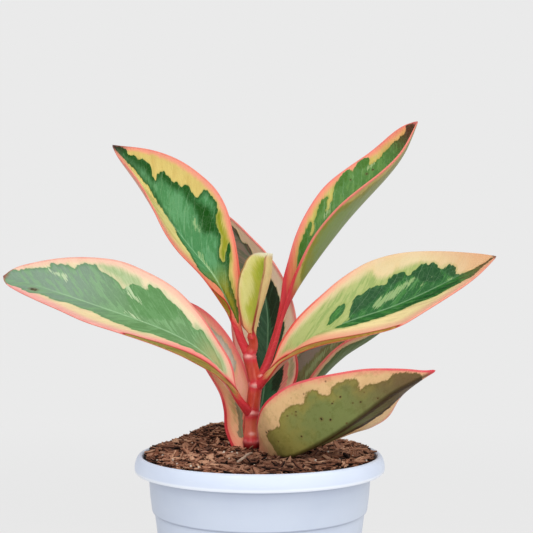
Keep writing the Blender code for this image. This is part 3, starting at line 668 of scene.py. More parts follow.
upperLeftLeaf = {
    "name": "upper_left_leaf", "node": "leaf_upper_left", "slot": "leaf_blade", "seed": 2,
    "path": [(-4.5, 0, 127.5), (-6.5, 1, 131), (-8, 2, 134.5), (-11, 5, 142.5), (-19, 10, 158.5),
             (-29.5, 16, 171), (-40.5, 22, 185), (-52.5, 27, 201.5), (-64.5, 30, 217)],
    "stalk": 0.12,
    "left": [(0, 1.8, 20), (0.12, 2, 20), (0.2, 4.5, 21), (0.3, 10.5, 23), (0.4, 17.5, 25), (0.5, 22.5, 30),
             (0.6, 24.5, 37), (0.7, 23, 42), (0.8, 19, 45), (0.9, 11.5, 45), (1, 0.5, 40)],
    "right": [(0, 1.8, 60), (0.1, 3.2, 57), (0.15, 5.2, 55), (0.2, 6.6, 54), (0.3, 11.0, 51),
              (0.4, 17.5, 50), (0.5, 22.3, 50), (0.6, 24.2, 50), (0.7, 22.7, 48), (0.8, 18.7, 45),
              (0.9, 11.3, 42), (1, 0.5, 40)],
    "face": [(0.55, -0.75, 0.35), (0.75, -0.75, 0.45), (0.5, -0.8, 0.4)],
    "lime": [[(0.08, 0.2), (0.14, 0.10), (0.2, 0.1), (0.30, 0.3), (0.36, 0.45), (0.42, 0.6), (0.52, 0.7),
              (0.53, 0.86), (0.46, 0.84), (0.40, 0.86), (0.36, 0.8), (0.30, 0.62), (0.26, 0.68),
              (0.2, 0.72), (0.14, 0.7), (0.1, 0.5)]],
    "green": [[(0.12, 0.4), (0.13, 0.12), (0.17, 0.0), (0.24, -0.06), (0.28, -0.20), (0.305, -0.5),
               (0.335, -0.75), (0.36, -0.62), (0.40, -0.40), (0.45, -0.24), (0.50, -0.22), (0.54, -0.16),
               (0.58, -0.04), (0.64, 0.0), (0.72, 0.03), (0.80, 0.06), (0.88, 0.03), (0.94, -0.1),
               (1.0, -0.6), (1.0, 0.9), (0.965, 0.75), (0.95, 0.62), (0.94, 0.45), (0.93, 0.43),
               (0.922, 0.50), (0.908, 0.52), (0.897, 0.42), (0.893, 0.44), (0.888, 0.54), (0.86, 0.52),
               (0.835, 0.46), (0.815, 0.36), (0.795, 0.29), (0.788, 0.30), (0.80, 0.40), (0.806, 0.50),
               (0.80, 0.57), (0.77, 0.55), (0.742, 0.54), (0.735, 0.58), (0.722, 0.60), (0.708, 0.56),
               (0.702, 0.57), (0.706, 0.66), (0.70, 0.71), (0.68, 0.69), (0.655, 0.66), (0.635, 0.66),
               (0.63, 0.74), (0.637, 0.84), (0.628, 0.88), (0.60, 0.88), (0.565, 0.90), (0.54, 0.86),
               (0.515, 0.78), (0.495, 0.72), (0.46, 0.70), (0.43, 0.70), (0.41, 0.64), (0.39, 0.52),
               (0.37, 0.48), (0.352, 0.50), (0.362, 0.58), (0.38, 0.72), (0.392, 0.86), (0.37, 0.84),
               (0.34, 0.72), (0.315, 0.62), (0.29, 0.56), (0.25, 0.52), (0.20, 0.60), (0.16, 0.66),
               (0.13, 0.62)]],
    "deep": [[(0.48, 0.45), (0.50, 0.38), (0.56, 0.45), (0.60, 0.50), (0.66, 0.50), (0.70, 0.60),
              (0.69, 0.70), (0.64, 0.62), (0.60, 0.66), (0.55, 0.75), (0.50, 0.7), (0.44, 0.66),
              (0.47, 0.55)],
             [(0.32, 0.5), (0.35, 0.52), (0.38, 0.7), (0.38, 0.85), (0.34, 0.7)],
             [(0.70, 0.46), (0.76, 0.42), (0.80, 0.42), (0.81, 0.56), (0.76, 0.55), (0.72, 0.6)],
             [(0.80, 0.28), (0.85, 0.26), (0.9, 0.25), (0.96, 0.2), (1, 0.5), (0.95, 0.6), (0.9, 0.5),
              (0.86, 0.52), (0.82, 0.42)]],
    "pale": [[(0.50, 0.33), (0.52, 0.30), (0.55, 0.33), (0.562, 0.40), (0.54, 0.37), (0.51, 0.36)],
             [(0.28, -0.02), (0.33, -0.04), (0.40, -0.01), (0.44, 0.08), (0.43, 0.11), (0.38, 0.07),
              (0.31, 0.03)]],
    "belly": [[(0.14, -1.5), (0.16, -0.7), (0.175, -0.3), (0.195, -0.16), (0.22, -0.3), (0.24, -0.65),
               (0.26, -1.0), (0.28, -1.5)]],
    # with little gloss, the main green is raised to hold the sheen: partly a painted sheen
    "look": {"green": "45854F", "greenLight": "68A474", "greenDeep": "0C4A04", "greenFar": "406A44",
             "greenBase": "8C8818", "baseFar": 0.38, "deepAmount": 1.0, "ash": "9CBC84",
             "cream": ("EBDC92", "D6C274"), "creamShade": "CDB468", "lime": "8F9420", "limeShade": "7C8A14",
             "limeAmount": 1.0, "halo": "B0B060", "blush": "F09A88", "blushBase": "EE8068",
             "blushWide": (14.0, 3.4), "edge": "DC645E", "edgeAmount": 0.45, "baseRed": 0.14,
             "baseBlush": 0.1, "outline": 0.8, "outlineWide": 2.4, "deepSoft": 2.0, "belly": "857A22",
             "bellyBase": "9A8A30", "bellyShade": "A8402A", "seamWidth": 1.2, "seam": "D0503C",
             "tip": "33221E", "tipFrom": 0.94, "coat": 0.0, "gloss": 0.16},
}

upperRightLeaf = {
    "name": "upper_right_leaf", "node": "leaf_upper_right", "slot": "leaf_blade", "seed": 3,
    "path": [(-1, 1.5, 116.5), (1.5, 3, 120.5), (3.5, 4, 125.5), (6, 6, 133), (9.5, 8, 144), (19, 12, 160),
             (36, 18, 182.5), (54.7, 23, 203.4), (62.4, 25, 214.3), (68.1, 26, 226.6)],
    "stalk": 0.22,
    "left": [(0, 1.8, 55), (0.2, 2, 58), (0.35, 8, 60), (0.45, 12.7, 59), (0.55, 16, 50), (0.65, 17.8, 43),
             (0.75, 16.6, 36), (0.85, 13.6, 31), (0.93, 9.4, 32), (0.975, 5.4, 33), (1, 1.2, 34)],
    "right": [(0, 1.8, 50), (0.2, 2, 55), (0.35, 8, 58), (0.45, 12.7, 56), (0.55, 16, 49), (0.65, 17.8, 41),
              (0.75, 16.4, 36), (0.85, 12, 35), (0.93, 7.2, 36), (0.975, 4.2, 36), (1, 1.2, 36)],
    "face": [(-0.8, -0.6, 0.4), (-0.75, -0.45, 0.5), (-0.7, -0.5, 0.5)],
    "lime": [[(0.30, 0.0), (0.40, -0.6), (0.5, -0.85), (0.65, -0.9), (0.8, -0.9), (0.92, -0.6), (0.9, 0.5),
              (0.6, 0.6), (0.4, 0.5)]],
    "green": [[(0.335, 0.0), (0.345, -0.3), (0.378, -0.56), (0.395, -0.68), (0.42, -0.76), (0.46, -0.80),
               (0.50, -0.82), (0.525, -0.79), (0.52, -0.71), (0.498, -0.64), (0.48, -0.58), (0.505, -0.60),
               (0.53, -0.68), (0.56, -0.78), (0.59, -0.83), (0.62, -0.84), (0.622, -0.76), (0.60, -0.68),
               (0.575, -0.56), (0.60, -0.58), (0.625, -0.66), (0.645, -0.76), (0.67, -0.86), (0.70, -0.93),
               (0.735, -0.97), (0.745, -0.90), (0.74, -0.82), (0.755, -0.86), (0.78, -0.98), (0.81, -0.99),
               (0.82, -0.90), (0.818, -0.80), (0.80, -0.66), (0.815, -0.62), (0.84, -0.62), (0.865, -0.66),
               (0.88, -0.66), (0.905, -0.64), (0.92, -0.58), (0.935, -0.52), (0.955, -0.50), (0.97, -0.60),
               (0.98, -1.0), (0.993, -1.0), (1.0, -0.2), (1.0, 0.9), (0.93, 0.88), (0.86, 0.88),
               (0.8, 0.84), (0.75, 0.80), (0.70, 0.86), (0.66, 0.82), (0.62, 0.86), (0.56, 1.02),
               (0.5, 1.02), (0.43, 0.98), (0.38, 0.85), (0.35, 0.6), (0.34, 0.3)]],
    "deep": [[(0.385, -0.55), (0.42, -0.74), (0.5, -0.8), (0.5, -0.68), (0.47, -0.58), (0.42, -0.52)],
             [(0.53, -0.66), (0.58, -0.82), (0.61, -0.82), (0.58, -0.7)],
             [(0.65, -0.76), (0.7, -0.9), (0.73, -0.93), (0.72, -0.82), (0.68, -0.72)],
             [(0.77, -0.9), (0.81, -0.97), (0.815, -0.8), (0.79, -0.7), (0.76, -0.75)]],
    "pale": [[(0.48, -0.58), (0.50, -0.64), (0.53, -0.69), (0.52, -0.62), (0.50, -0.57)],
             [(0.56, -0.52), (0.58, -0.58), (0.62, -0.68), (0.64, -0.72), (0.61, -0.60), (0.58, -0.50)],
             [(0.78, -0.60), (0.80, -0.66), (0.815, -0.62), (0.795, -0.56)]],
    "spots": [(0.765, -0.5, 0.5), (0.79, -0.46, 0.4), (0.715, -0.68, 0.35)],
    "look": {"green": "4B7B34", "greenLight": "6B9448", "greenDeep": "3A6A0C", "greenFar": "4E2812",
             "farFrom": 0.8, "dry": 0.95, "dryFrom": 0.87, "creamFar": "E67E62", "creamFade": 0.45,
             "greenBase": "42700F", "baseFar": 0.42, "ash": "A0B47A", "cream": ("DCC474", "D6BE70"),
             "creamShade": "CDB058", "lime": "B7B24E", "limeAmount": 0.6, "halo": "A8A04A",
             "haloAmount": 0.7, "blush": "EE8E76", "blushBase": "D65C46", "blushWide": (3.6, 1.4),
             "edge": "E67C72", "edgeWidth": 0.8, "edgeAmount": 0.8, "baseRed": 0.34, "baseBlush": 0.12,
             "underGreen": "7C8F50", "underShade": "84842C", "underRim": "A09438", "underCream": "B8A458",
             "underBlush": "D08A66", "underFar": "8A8446", "tip": "B8605A"},
}

leftLeaf = {
    "name": "left_leaf", "node": "leaf_left", "slot": "leaf_blade", "seed": 4,
    "path": [(-4.3, -0.8, 104.3), (-7.4, -4.7, 108.8), (-12, -7, 115.5), (-18, -9, 124), (-25, -11, 130.5),
             (-34.5, -12, 136), (-47, -12, 141), (-63, -11, 146.5), (-82.5, -9, 153), (-102, -6, 159)],
    "stalk": 0.09,
    "left": [(0, 2, 45), (0.1, 2.8, 36), (0.15, 5.4, 30), (0.25, 10.0, 17), (0.35, 15.4, 20),
             (0.45, 18.6, 23), (0.55, 18.6, 23), (0.65, 18.2, 23), (0.75, 15.0, 23), (0.85, 10.8, 20),
             (0.95, 6.2, 16), (0.985, 3.2, 14), (1, 0.9, 14)],
    "right": [(0, 2, 50), (0.1, 2.8, 44), (0.15, 4.8, 40), (0.25, 8.5, 24), (0.35, 13.8, 25),
              (0.45, 18.2, 31), (0.55, 20.2, 32), (0.65, 21, 30), (0.75, 18.5, 29), (0.85, 13.8, 29),
              (0.95, 7.2, 28), (0.985, 3.7, 28), (1, 0.9, 28)],
    "face": [(0.4, -0.5, 0.8), (0.3, -0.65, 0.75), (0.2, -0.7, 0.7)],
    "lime": [[(0.54, 0.68), (0.60, 0.58), (0.63, 0.66), (0.67, 0.72), (0.70, 0.78), (0.72, 0.87),
              (0.66, 0.88), (0.60, 0.84), (0.56, 0.84)],
             [(0.15, 0.1), (0.2, 0.0), (0.3, -0.1), (0.34, 0.5), (0.33, 0.72), (0.24, 0.72), (0.17, 0.45)]],
    "green": [[(0.16, 0.22), (0.17, 0.12), (0.21, 0.0), (0.25, -0.10), (0.30, -0.22), (0.35, -0.32),
               (0.40, -0.37), (0.44, -0.38), (0.46, -0.42), (0.49, -0.50), (0.52, -0.50), (0.54, -0.47),
               (0.57, -0.46), (0.62, -0.40), (0.645, -0.35), (0.665, -0.31), (0.69, -0.33), (0.71, -0.36),
               (0.735, -0.34), (0.76, -0.40), (0.80, -0.52), (0.815, -0.46), (0.84, -0.48), (0.865, -0.58),
               (0.885, -0.76), (0.91, -0.72), (0.925, -0.68), (0.94, -0.8), (0.96, -0.95), (1, -1.2),
               (1, 1.2), (0.97, 0.74), (0.945, 0.76), (0.92, 0.73), (0.90, 0.76), (0.88, 0.72),
               (0.868, 0.74), (0.872, 0.84), (0.868, 0.90), (0.845, 0.84), (0.815, 0.82), (0.80, 0.76),
               (0.785, 0.75), (0.775, 0.84), (0.755, 0.88), (0.73, 0.86), (0.71, 0.78), (0.685, 0.72),
               (0.65, 0.67), (0.625, 0.60), (0.605, 0.54), (0.59, 0.62), (0.585, 0.67), (0.56, 0.70),
               (0.535, 0.69), (0.52, 0.66), (0.532, 0.75), (0.53, 0.82), (0.505, 0.81), (0.475, 0.80),
               (0.455, 0.75), (0.42, 0.70), (0.385, 0.67), (0.365, 0.62), (0.35, 0.55), (0.335, 0.53),
               (0.328, 0.62), (0.315, 0.70), (0.28, 0.66), (0.245, 0.56), (0.21, 0.42), (0.18, 0.30)]],
    "deep": [[(0.50, 0.1), (0.55, 0.2), (0.59, 0.45), (0.585, 0.65), (0.54, 0.67), (0.53, 0.8),
              (0.45, 0.72), (0.40, 0.5), (0.45, 0.2)]],
    "pale": [[(0.528, 0.36), (0.55, 0.40), (0.58, 0.47), (0.60, 0.55), (0.62, 0.64), (0.60, 0.66),
              (0.585, 0.58), (0.56, 0.48), (0.535, 0.42)],
             [(0.795, 0.38), (0.81, 0.42), (0.825, 0.50), (0.84, 0.50), (0.86, 0.60), (0.872, 0.70),
              (0.862, 0.68), (0.845, 0.58), (0.825, 0.56), (0.805, 0.52), (0.797, 0.46)],
             [(0.50, 0.01), (0.54, 0.04), (0.57, 0.08), (0.54, 0.07)]],
    "belly": [[(-0.1, 1.5), (0.05, 1.5), (0.07, 0.85), (0.1, 0.5), (0.15, 0.04), (0.18, -0.2), (0.2, -0.33),
               (0.25, -0.43), (0.30, -0.52), (0.35, -0.62), (0.40, -0.73), (0.45, -0.84), (0.52, -1.0),
               (0.5, -1.6), (0.2, -1.6), (-0.1, -1.5)]],
    "spots": [(0.883, -0.36, 0.9), (0.871, -0.33, 0.75)],
    # the grey-green toward the tip is partly a painted sheen
    "look": {"green": "628C58", "greenLight": "80AC78", "greenDeep": "4C8444", "greenFar": "7B947F",
             "greenBase": "B4AE78", "baseFar": 0.34, "farFrom": 0.5, "ash": "C0D2A8",
             "cream": ("F0D8A8", "E6D4B0"), "creamShade": "E0C8A0", "blush": "F4B0A8",
             "blushBase": "F88884", "blushWide": (7.4, 3.4), "limeRagged": 1.6, "blushRed": (0.95, 0.5),
             "edge": "DC6A6A", "edgeAmount": 0.35, "lime": "A4BC8C", "limeShade": "8FAE78",
             "halo": "B4C292", "baseRed": 0.085, "baseBlush": 0.1, "belly": "96803A", "bellyBase": "BC8A54",
             "bellyShade": "6E7022", "seamWidth": 2.2, "seam": "E0525A", "deepAmount": 0.5,
             "midAmount": 0.45, "tip": "8E5446", "tipFrom": 0.982},
}

lowRightLeaf = {
    "name": "low_right_leaf", "node": "leaf_low_right", "slot": "leaf_blade", "seed": 5,
    "path": [(-0.8, -0.8, 87.6), (3.9, -8.5, 88.2), (8.1, -17, 89.7), (13, -24, 90.9), (23, -28, 96.5),
             (35.5, -30, 105), (50.5, -30, 116), (65.5, -29, 123)],
    "stalk": 0.0, "collar": 0.0,
    "left": [(0, 2, 50), (0.05, 4, 46), (0.1, 8, 44), (0.2, 17, 42), (0.3, 23, 38), (0.45, 24.3, 30),
             (0.55, 23, 25), (0.65, 19.6, 17), (0.75, 14.8, 10), (0.85, 8.5, 17), (0.95, 2.6, 19),
             (1, 0.5, 20)],
    "right": [(0, 2, 50), (0.05, 6.0, 38), (0.1, 9.6, 37), (0.15, 13.4, 42), (0.2, 17.6, 50),
              (0.27, 22.2, 55), (0.35, 23.7, 53), (0.45, 24.1, 50), (0.55, 22.5, 41), (0.65, 19.3, 34),
              (0.75, 14.5, 28), (0.85, 8.4, 17), (0.95, 2.6, 15), (1, 0.5, 15)],
    "face": [(0.5, 0.3, 0.8), (-0.35, 0.65, 0.7), (-0.4, 0.7, 0.6), (-0.4, 0.7, 0.6)],
    "lime": [[(0.2, -0.6), (0.4, -0.7), (0.6, -0.6), (0.8, -0.4), (0.8, 0.4), (0.6, 0.7), (0.4, 0.8),
              (0.2, 0.6)]],
    "green": [[(0.10, -1.3), (0.11, -0.8), (0.14, -0.35), (0.185, -0.1), (0.205, 0.05), (0.207, 0.30),
               (0.204, 0.46), (0.212, 0.54), (0.225, 0.54), (0.255, 0.56), (0.29, 0.53), (0.315, 0.54),
               (0.33, 0.64), (0.36, 0.70), (0.40, 0.72), (0.44, 0.70), (0.465, 0.66), (0.48, 0.68),
               (0.495, 0.75), (0.52, 0.81), (0.55, 0.80), (0.56, 0.72), (0.575, 0.66), (0.595, 0.66),
               (0.61, 0.74), (0.64, 0.80), (0.68, 0.83), (0.71, 0.80), (0.716, 0.70), (0.705, 0.58),
               (0.70, 0.50), (0.715, 0.53), (0.74, 0.56), (0.78, 0.55), (0.81, 0.57), (0.825, 0.66),
               (0.84, 0.78), (0.87, 0.82), (0.90, 0.78), (0.925, 0.70), (0.942, 0.4), (0.945, -0.1),
               (0.935, -1.3), (0.86, -1.3), (0.83, -0.85), (0.78, -0.58), (0.7, -0.46), (0.6, -0.42),
               (0.5, -0.36), (0.46, -0.3), (0.44, -0.45), (0.43, -0.8), (0.44, -1.3)]],
    "deep": [[(0.45, -0.2), (0.6, -0.2), (0.75, -0.2), (0.8, 0.2), (0.7, 0.4), (0.5, 0.4)]],
    "pale": [[(0.3, -0.2), (0.4, -0.3), (0.5, -0.25), (0.4, -0.15)]],
    # underneath, the dark left half and the dark keel line are painted shade
    "look": {"blushWide": (4.5, 3.0), "underBase": 0.9, "stain": 0.5, "edge": "DC5560", "edgeWidth": 0.8,
             "edgeAmount": 0.85, "baseRed": 0.05, "baseBlush": 0.08, "leftAmount": 1.0, "keelAmount": 0.8,
             "keelWidth": 1.5, "pits": 0.7, "coat": 0.0, "gloss": 0.1, "underCream": "D8B282",
             "underBlush": "E0967A", "underGreen": "747C47", "underShade": "8A8244", "underFar": "6E583B",
             "underLeft": "38260E", "keel": "38290F", "tip": "D2454E", "tipFrom": 0.955},
    "spots": [(0.50, 0.32, 0.55), (0.53, 0.24, 0.42), (0.385, 0.23, 0.32), (0.412, 0.56, 0.4),
              (0.42, 0.60, 0.3), (0.40, 0.60, 0.24), (0.218, 0.58, 0.42), (0.238, 0.57, 0.3),
              (0.207, 0.52, 0.34), (0.575, 0.48, 0.3), (0.62, 0.53, 0.32), (0.585, 0.5, 0.22),
              (0.675, 0.26, 0.34), (0.71, 0.42, 0.24), (0.27, 0.32, 0.3), (0.74, 0.12, 0.28),
              (0.14, -0.9, 0.3)],
}

backLeaf = {
    "name": "back_leaf", "node": "leaf_back", "slot": "leaf_blade", "seed": 6,
    "path": [(-3, 2.3, 98.5), (-2, 8, 99.2), (-0.5, 13, 102), (1.5, 18, 110), (3, 22, 128), (3, 27, 145),
             (-1, 32, 162), (-9, 35, 176), (-20, 38, 190.5)],
    "stalk": 0.1,
    "left": [(0, 2, 30), (0.1, 3, 22), (0.15, 6, 15), (0.25, 10.8, 8), (0.35, 14, 7), (0.45, 16, 8),
             (0.55, 16, 15), (0.65, 14.5, 20), (0.8, 10, 20), (0.92, 5, 20), (1, 0.5, 20)],
    "right": [(0, 2, 40), (0.1, 3, 36), (0.15, 7.5, 34), (0.2, 12.2, 31), (0.25, 14.6, 30), (0.3, 15.4, 34),
              (0.35, 15.2, 41), (0.45, 16, 48), (0.55, 16, 60), (0.65, 14.5, 70), (0.8, 10, 82),
              (0.92, 5, 81), (1, 0.5, 80)],
    "face": [(0, -0.9, 0.3), (0.1, -0.9, 0.4), (0.1, -0.9, 0.4)],
    "lime": [[(0.16, 0.70), (0.22, 0.70), (0.30, 0.70), (0.36, 0.72), (0.36, 0.93), (0.30, 0.93),
              (0.22, 0.93), (0.16, 0.92)]],
    "green": [[(0.08, 0.0), (0.12, 0.35), (0.15, 0.7), (0.20, 0.72), (0.27, 0.72), (0.34, 0.70),
               (0.39, 0.50), (0.43, 0.57), (0.47, 0.55), (0.50, 0.5), (0.53, 0.55), (0.57, 0.56),
               (0.60, 0.53), (0.62, 0.50), (0.64, 0.40), (0.66, 0.2), (0.70, 0.15), (0.74, 0.18),
               (0.765, 0.30), (0.79, 0.38), (0.81, 0.25), (0.822, 0.05), (0.84, 0.22), (0.87, 0.42),
               (0.895, 0.4), (0.92, 0.2), (0.96, 0.1), (1, 0), (0.96, -0.2), (0.9, -0.3), (0.85, -0.45),
               (0.8, -0.6), (0.74, -0.75), (0.68, -0.8), (0.6, -0.72), (0.54, -0.5), (0.5, -0.28),
               (0.46, -0.25), (0.44, -0.36), (0.40, -0.36), (0.34, -0.34), (0.28, -0.34), (0.24, -0.28),
               (0.18, -0.2), (0.12, -0.15)]],
    "deep": [[(0.42, 0.2), (0.5, 0.1), (0.6, 0.1), (0.64, 0.45), (0.55, 0.55), (0.45, 0.5)],
             [(0.2, 0.3), (0.3, 0.3), (0.28, 0.75), (0.2, 0.75)]],
    "pale": [[(0.14, 0.52), (0.20, 0.54), (0.26, 0.54), (0.32, 0.54), (0.37, 0.48), (0.37, 0.74),
              (0.32, 0.74), (0.2, 0.74), (0.14, 0.74)]],
    # the near-white creams are partly painted light, for a leaf that lies in shade behind the others; the
    # grey-brown toward the tip is partly a painted sheen
    "look": {"green": "2C5638", "greenLight": "3F6A48", "greenDeep": "1C2616", "greenFar": "8D7B6F",
             "greenBase": "2F6040", "baseFar": 0.3, "farFrom": 0.5, "ash": "FF968A", "paleRagged": 0.6,
             "limeRagged": 0.8, "cream": ("FFEED2", "FFEACE"), "creamShade": "FFE0BE", "blush": "FFB6AA",
             "blushBase": "F8A898", "blushWide": (4.0, 2.2), "lime": "A89C74", "limeShade": "8E8A66",
             "vein": "6E9B76", "veinAmount": 0.2, "midAmount": 0.7},
}

backLeftLeaf = {
    "name": "back_left_leaf", "node": "leaf_back_left", "slot": "leaf_blade", "seed": 7,
    "path": [(-6.2, 0.9, 88.8), (-7.2, 3.4, 94.4), (-8, 6, 102.5), (-10.5, 8, 110), (-16, 11, 119.5),
             (-23.5, 14, 130.5), (-32.5, 16, 140.5), (-44.5, 17, 148.5)],
    "stalk": -0.1, "collar": 0.0,
    "left": [(0, 4.0, -16), (0.05, 5.3, -12), (0.1, 6.6, -5), (0.15, 7.4, 2), (0.24, 7.5, 14),
             (0.335, 8.5, 30), (0.48, 10, 37), (0.62, 10.5, 40), (0.76, 9.5, 38), (0.886, 6.5, 34),
             (1, 0.5, 30)],
    "right": [(0, 1.5, 0), (0.125, 1.5, 0), (0.2, 3, 6), (0.287, 7, 18), (0.382, 9, 30), (0.48, 10, 30),
              (0.62, 10.5, 30), (0.76, 9.5, 30), (0.886, 6.5, 30), (1, 0.5, 30)],
    "face": [(0.4, -0.8, 0.4), (0.3, -0.8, 0.4), (0.2, -0.8, 0.5)],
    "lime": [[(0.147, -0.3), (0.242, -0.2), (0.336, 0.0), (0.336, -0.3), (0.242, -0.45), (0.147, -0.5)]],
    "green": [[(0.071, -0.28), (0.147, -0.22), (0.242, -0.18), (0.336, -0.15), (0.393, 0.3), (0.45, 0.72),
               (0.526, 0.8), (0.621, 0.76), (0.716, 0.66), (0.81, 0.6), (0.905, 0.4), (1, 0.2), (1, -0.2),
               (0.858, -0.5), (0.716, -0.6), (0.526, -0.4), (0.384, -0.3), (0.242, 0.1), (0.147, 0.3),
               (0.071, 0.3)]],
    "deep": [[(0.431, 0.1), (0.621, 0.2), (0.81, 0.1), (0.621, -0.2)]],
    "pale": [[(0.621, 0.4), (0.716, 0.45), (0.763, 0.4), (0.668, 0.35)]],
    "look": {"green": "C4BCAC", "greenLight": "D0C6B8", "greenDeep": "7C7A58", "greenFar": "93966C",
             "greenBase": "8E7C5A", "baseFar": 0.36, "cream": ("EABC8C", "F0AA94"), "creamShade": "E6B084",
             "blush": "F08478", "blushWide": (3.0, 3.0), "edge": "EC5A6A", "edgeWidth": 0.9, "baseRed": 0.0,
             "lime": "B89A66", "halo": "C4A878"},
}

backRightLeaf = {
    "name": "back_right_leaf", "node": "leaf_back_right", "slot": "leaf_blade", "seed": 8,
    "path": [(-1.5, 1, 93.5), (5, 9, 93.2), (11, 19, 97), (17, 26, 105), (26, 30, 115.3), (37, 33, 125.3),
             (50.5, 35, 134.0), (68, 38, 148)],
    "stalk": 0.2,
    "left": [(0, 2, 50), (0.2, 3.5, 50), (0.35, 12.5, 50), (0.5, 17.2, 50), (0.65, 16, 50), (0.85, 11, 46),
             (0.95, 5, 42), (1, 0.5, 40)],
    "right": [(0, 2, 50), (0.22, 2.5, 47), (0.35, 9, 46), (0.5, 15, 46), (0.65, 16, 46), (0.85, 11, 44),
              (0.95, 5, 41), (1, 0.5, 40)],
    "face": [(-0.6, -0.5, 0.6), (-0.6, -0.4, 0.6), (-0.5, -0.5, 0.6)],
    "lime": [[(0.3, -0.3), (0.45, -0.5), (0.6, -0.5), (0.6, 0.4), (0.4, 0.5)]],
    "green": [[(0.28, 0.0), (0.33, -0.5), (0.4, -0.72), (0.5, -0.86), (0.6, -0.84), (0.68, -0.8),
               (0.74, -0.7), (0.8, -0.74), (0.87, -0.6), (0.94, -0.4), (1, 0), (0.93, 0.5), (0.86, 0.62),
               (0.8, 0.75), (0.72, 0.7), (0.62, 0.84), (0.52, 0.8), (0.42, 0.72), (0.34, 0.5)]],
    "deep": [[(0.42, -0.75), (0.5, -0.8), (0.62, -0.75), (0.7, -0.5), (0.6, -0.5), (0.45, -0.55)]],
    "pale": [[(0.42, -0.35), (0.5, -0.42), (0.6, -0.45), (0.66, -0.42), (0.58, -0.38), (0.48, -0.3)]],
    "look": {"green": "706E48", "greenLight": "8A8460", "greenDeep": "8E8078", "greenFar": "6A6A44",
             "greenBase": "7A8A58", "baseFar": 0.42, "ash": "8FA070", "deepAmount": 0.85,
             "cream": ("C4B088", "C9AE84"), "blush": "D9706A", "blushWide": (2.6, 2.6), "edge": "D9525C",
             "vein": "C8404E", "veinAmount": 0.0, "midAmount": 0.9, "baseRed": 0.2, "underGreen": "52652A",
             "underShade": "445A1E", "underFar": "4A5A24", "rough": 0.44, "coat": 0.0, "gloss": 0.1},
}

youngLeaf = {
    "name": "young_leaf", "node": "leaf_young", "slot": "young_blade", "seed": 9,
    "path": [(-3.5, -2.5, 134), (-1, -2.5, 142.5), (1.9, -2, 151.5), (4.2, -2, 160), (4.5, -2, 164.6),
             (5.05, -2, 168.3)],
    "stalk": 0.02, "collar": 0.0, "nib": 0.1,
    "left": [(0, 1.7, 55), (0.07, 3.9, 57), (0.2, 6.6, 58), (0.35, 9.3, 59), (0.5, 11.0, 60),
             (0.65, 11.7, 58), (0.8, 11.2, 56), (0.88, 10.3, 55), (0.94, 8.7, 54), (0.975, 6.6, 54),
             (0.99, 4.9, 54), (1, 2.4, 53)],
    "right": [(0, 1.7, 43), (0.07, 2.8, 43), (0.2, 5.8, 42), (0.35, 8.7, 41), (0.5, 10.8, 42),
              (0.65, 11.9, 44), (0.8, 11.6, 47), (0.9, 10.8, 49), (0.95, 9.2, 50), (0.98, 6.6, 50),
              (0.993, 4.4, 50), (1, 1.4, 50)],
    "face": [(-0.8, -0.6, 0.2), (-0.8, -0.5, 0.2), (-0.8, -0.6, 0.2)],
    "lime": [[(0.15, -0.4), (0.3, -0.62), (0.4, -0.55), (0.5, -0.5), (0.65, -0.52), (0.75, -0.64),
              (0.88, -0.6), (0.95, -0.4), (0.92, 0.2), (0.8, 0.5), (0.5, 0.5), (0.2, 0.2)]],
    "green": [[(0.66, -0.3), (0.72, -0.5), (0.84, -0.5), (0.92, -0.38), (0.9, -0.1), (0.8, 0.0)],
              [(0.26, -0.42), (0.3, -0.56), (0.35, -0.5), (0.33, -0.35)]],
    "deep": [[(0.85, -0.3), (0.9, -0.36), (0.92, -0.28), (0.88, -0.2)]],
    "pale": [[(0.97, -0.4), (1.0, -0.6), (1.0, 0.0), (0.98, 0.0)]],
    "look": {"cream": ("D2CC80", "D2CC80"), "creamShade": "CCC470", "lime": "AEAE20", "limeShade": "A0A614",
             "limeAmount": 0.85, "green": "A3AC26", "greenLight": "B0B840", "greenDeep": "949C1E",
             "greenFar": "A3AC26", "greenBase": "B0AC38", "blush": "DCC98C", "blushWide": (2.0, 2.0),
             "halo": "B8B850", "haloAmount": 0.3, "edge": "946436", "edgeWidth": 0.34, "edgeAmount": 0.8,
             "lobes": 0.6, "ragged": 1.0, "crisp": 0.9, "outline": 0.0, "baseRed": 0.06,
             "underCream": "E6CE8E", "underBlush": "E0BC84", "underGreen": "D8C476", "underShade": "DCC680",
             "underRim": "D8C476", "underFar": "F0E2B6", "seam": "9A4A34", "blushBase": "DC9464",
             "vein": "C9CC80", "veinAmount": 0.1, "midAmount": 0.2, "tip": "EDEBD2", "tipFrom": 0.93},
}

for leaf in (rightLeaf, upperLeftLeaf, upperRightLeaf, leftLeaf, lowRightLeaf, backLeaf, backLeftLeaf,
             backRightLeaf, youngLeaf):
    growLeaf(leaf)

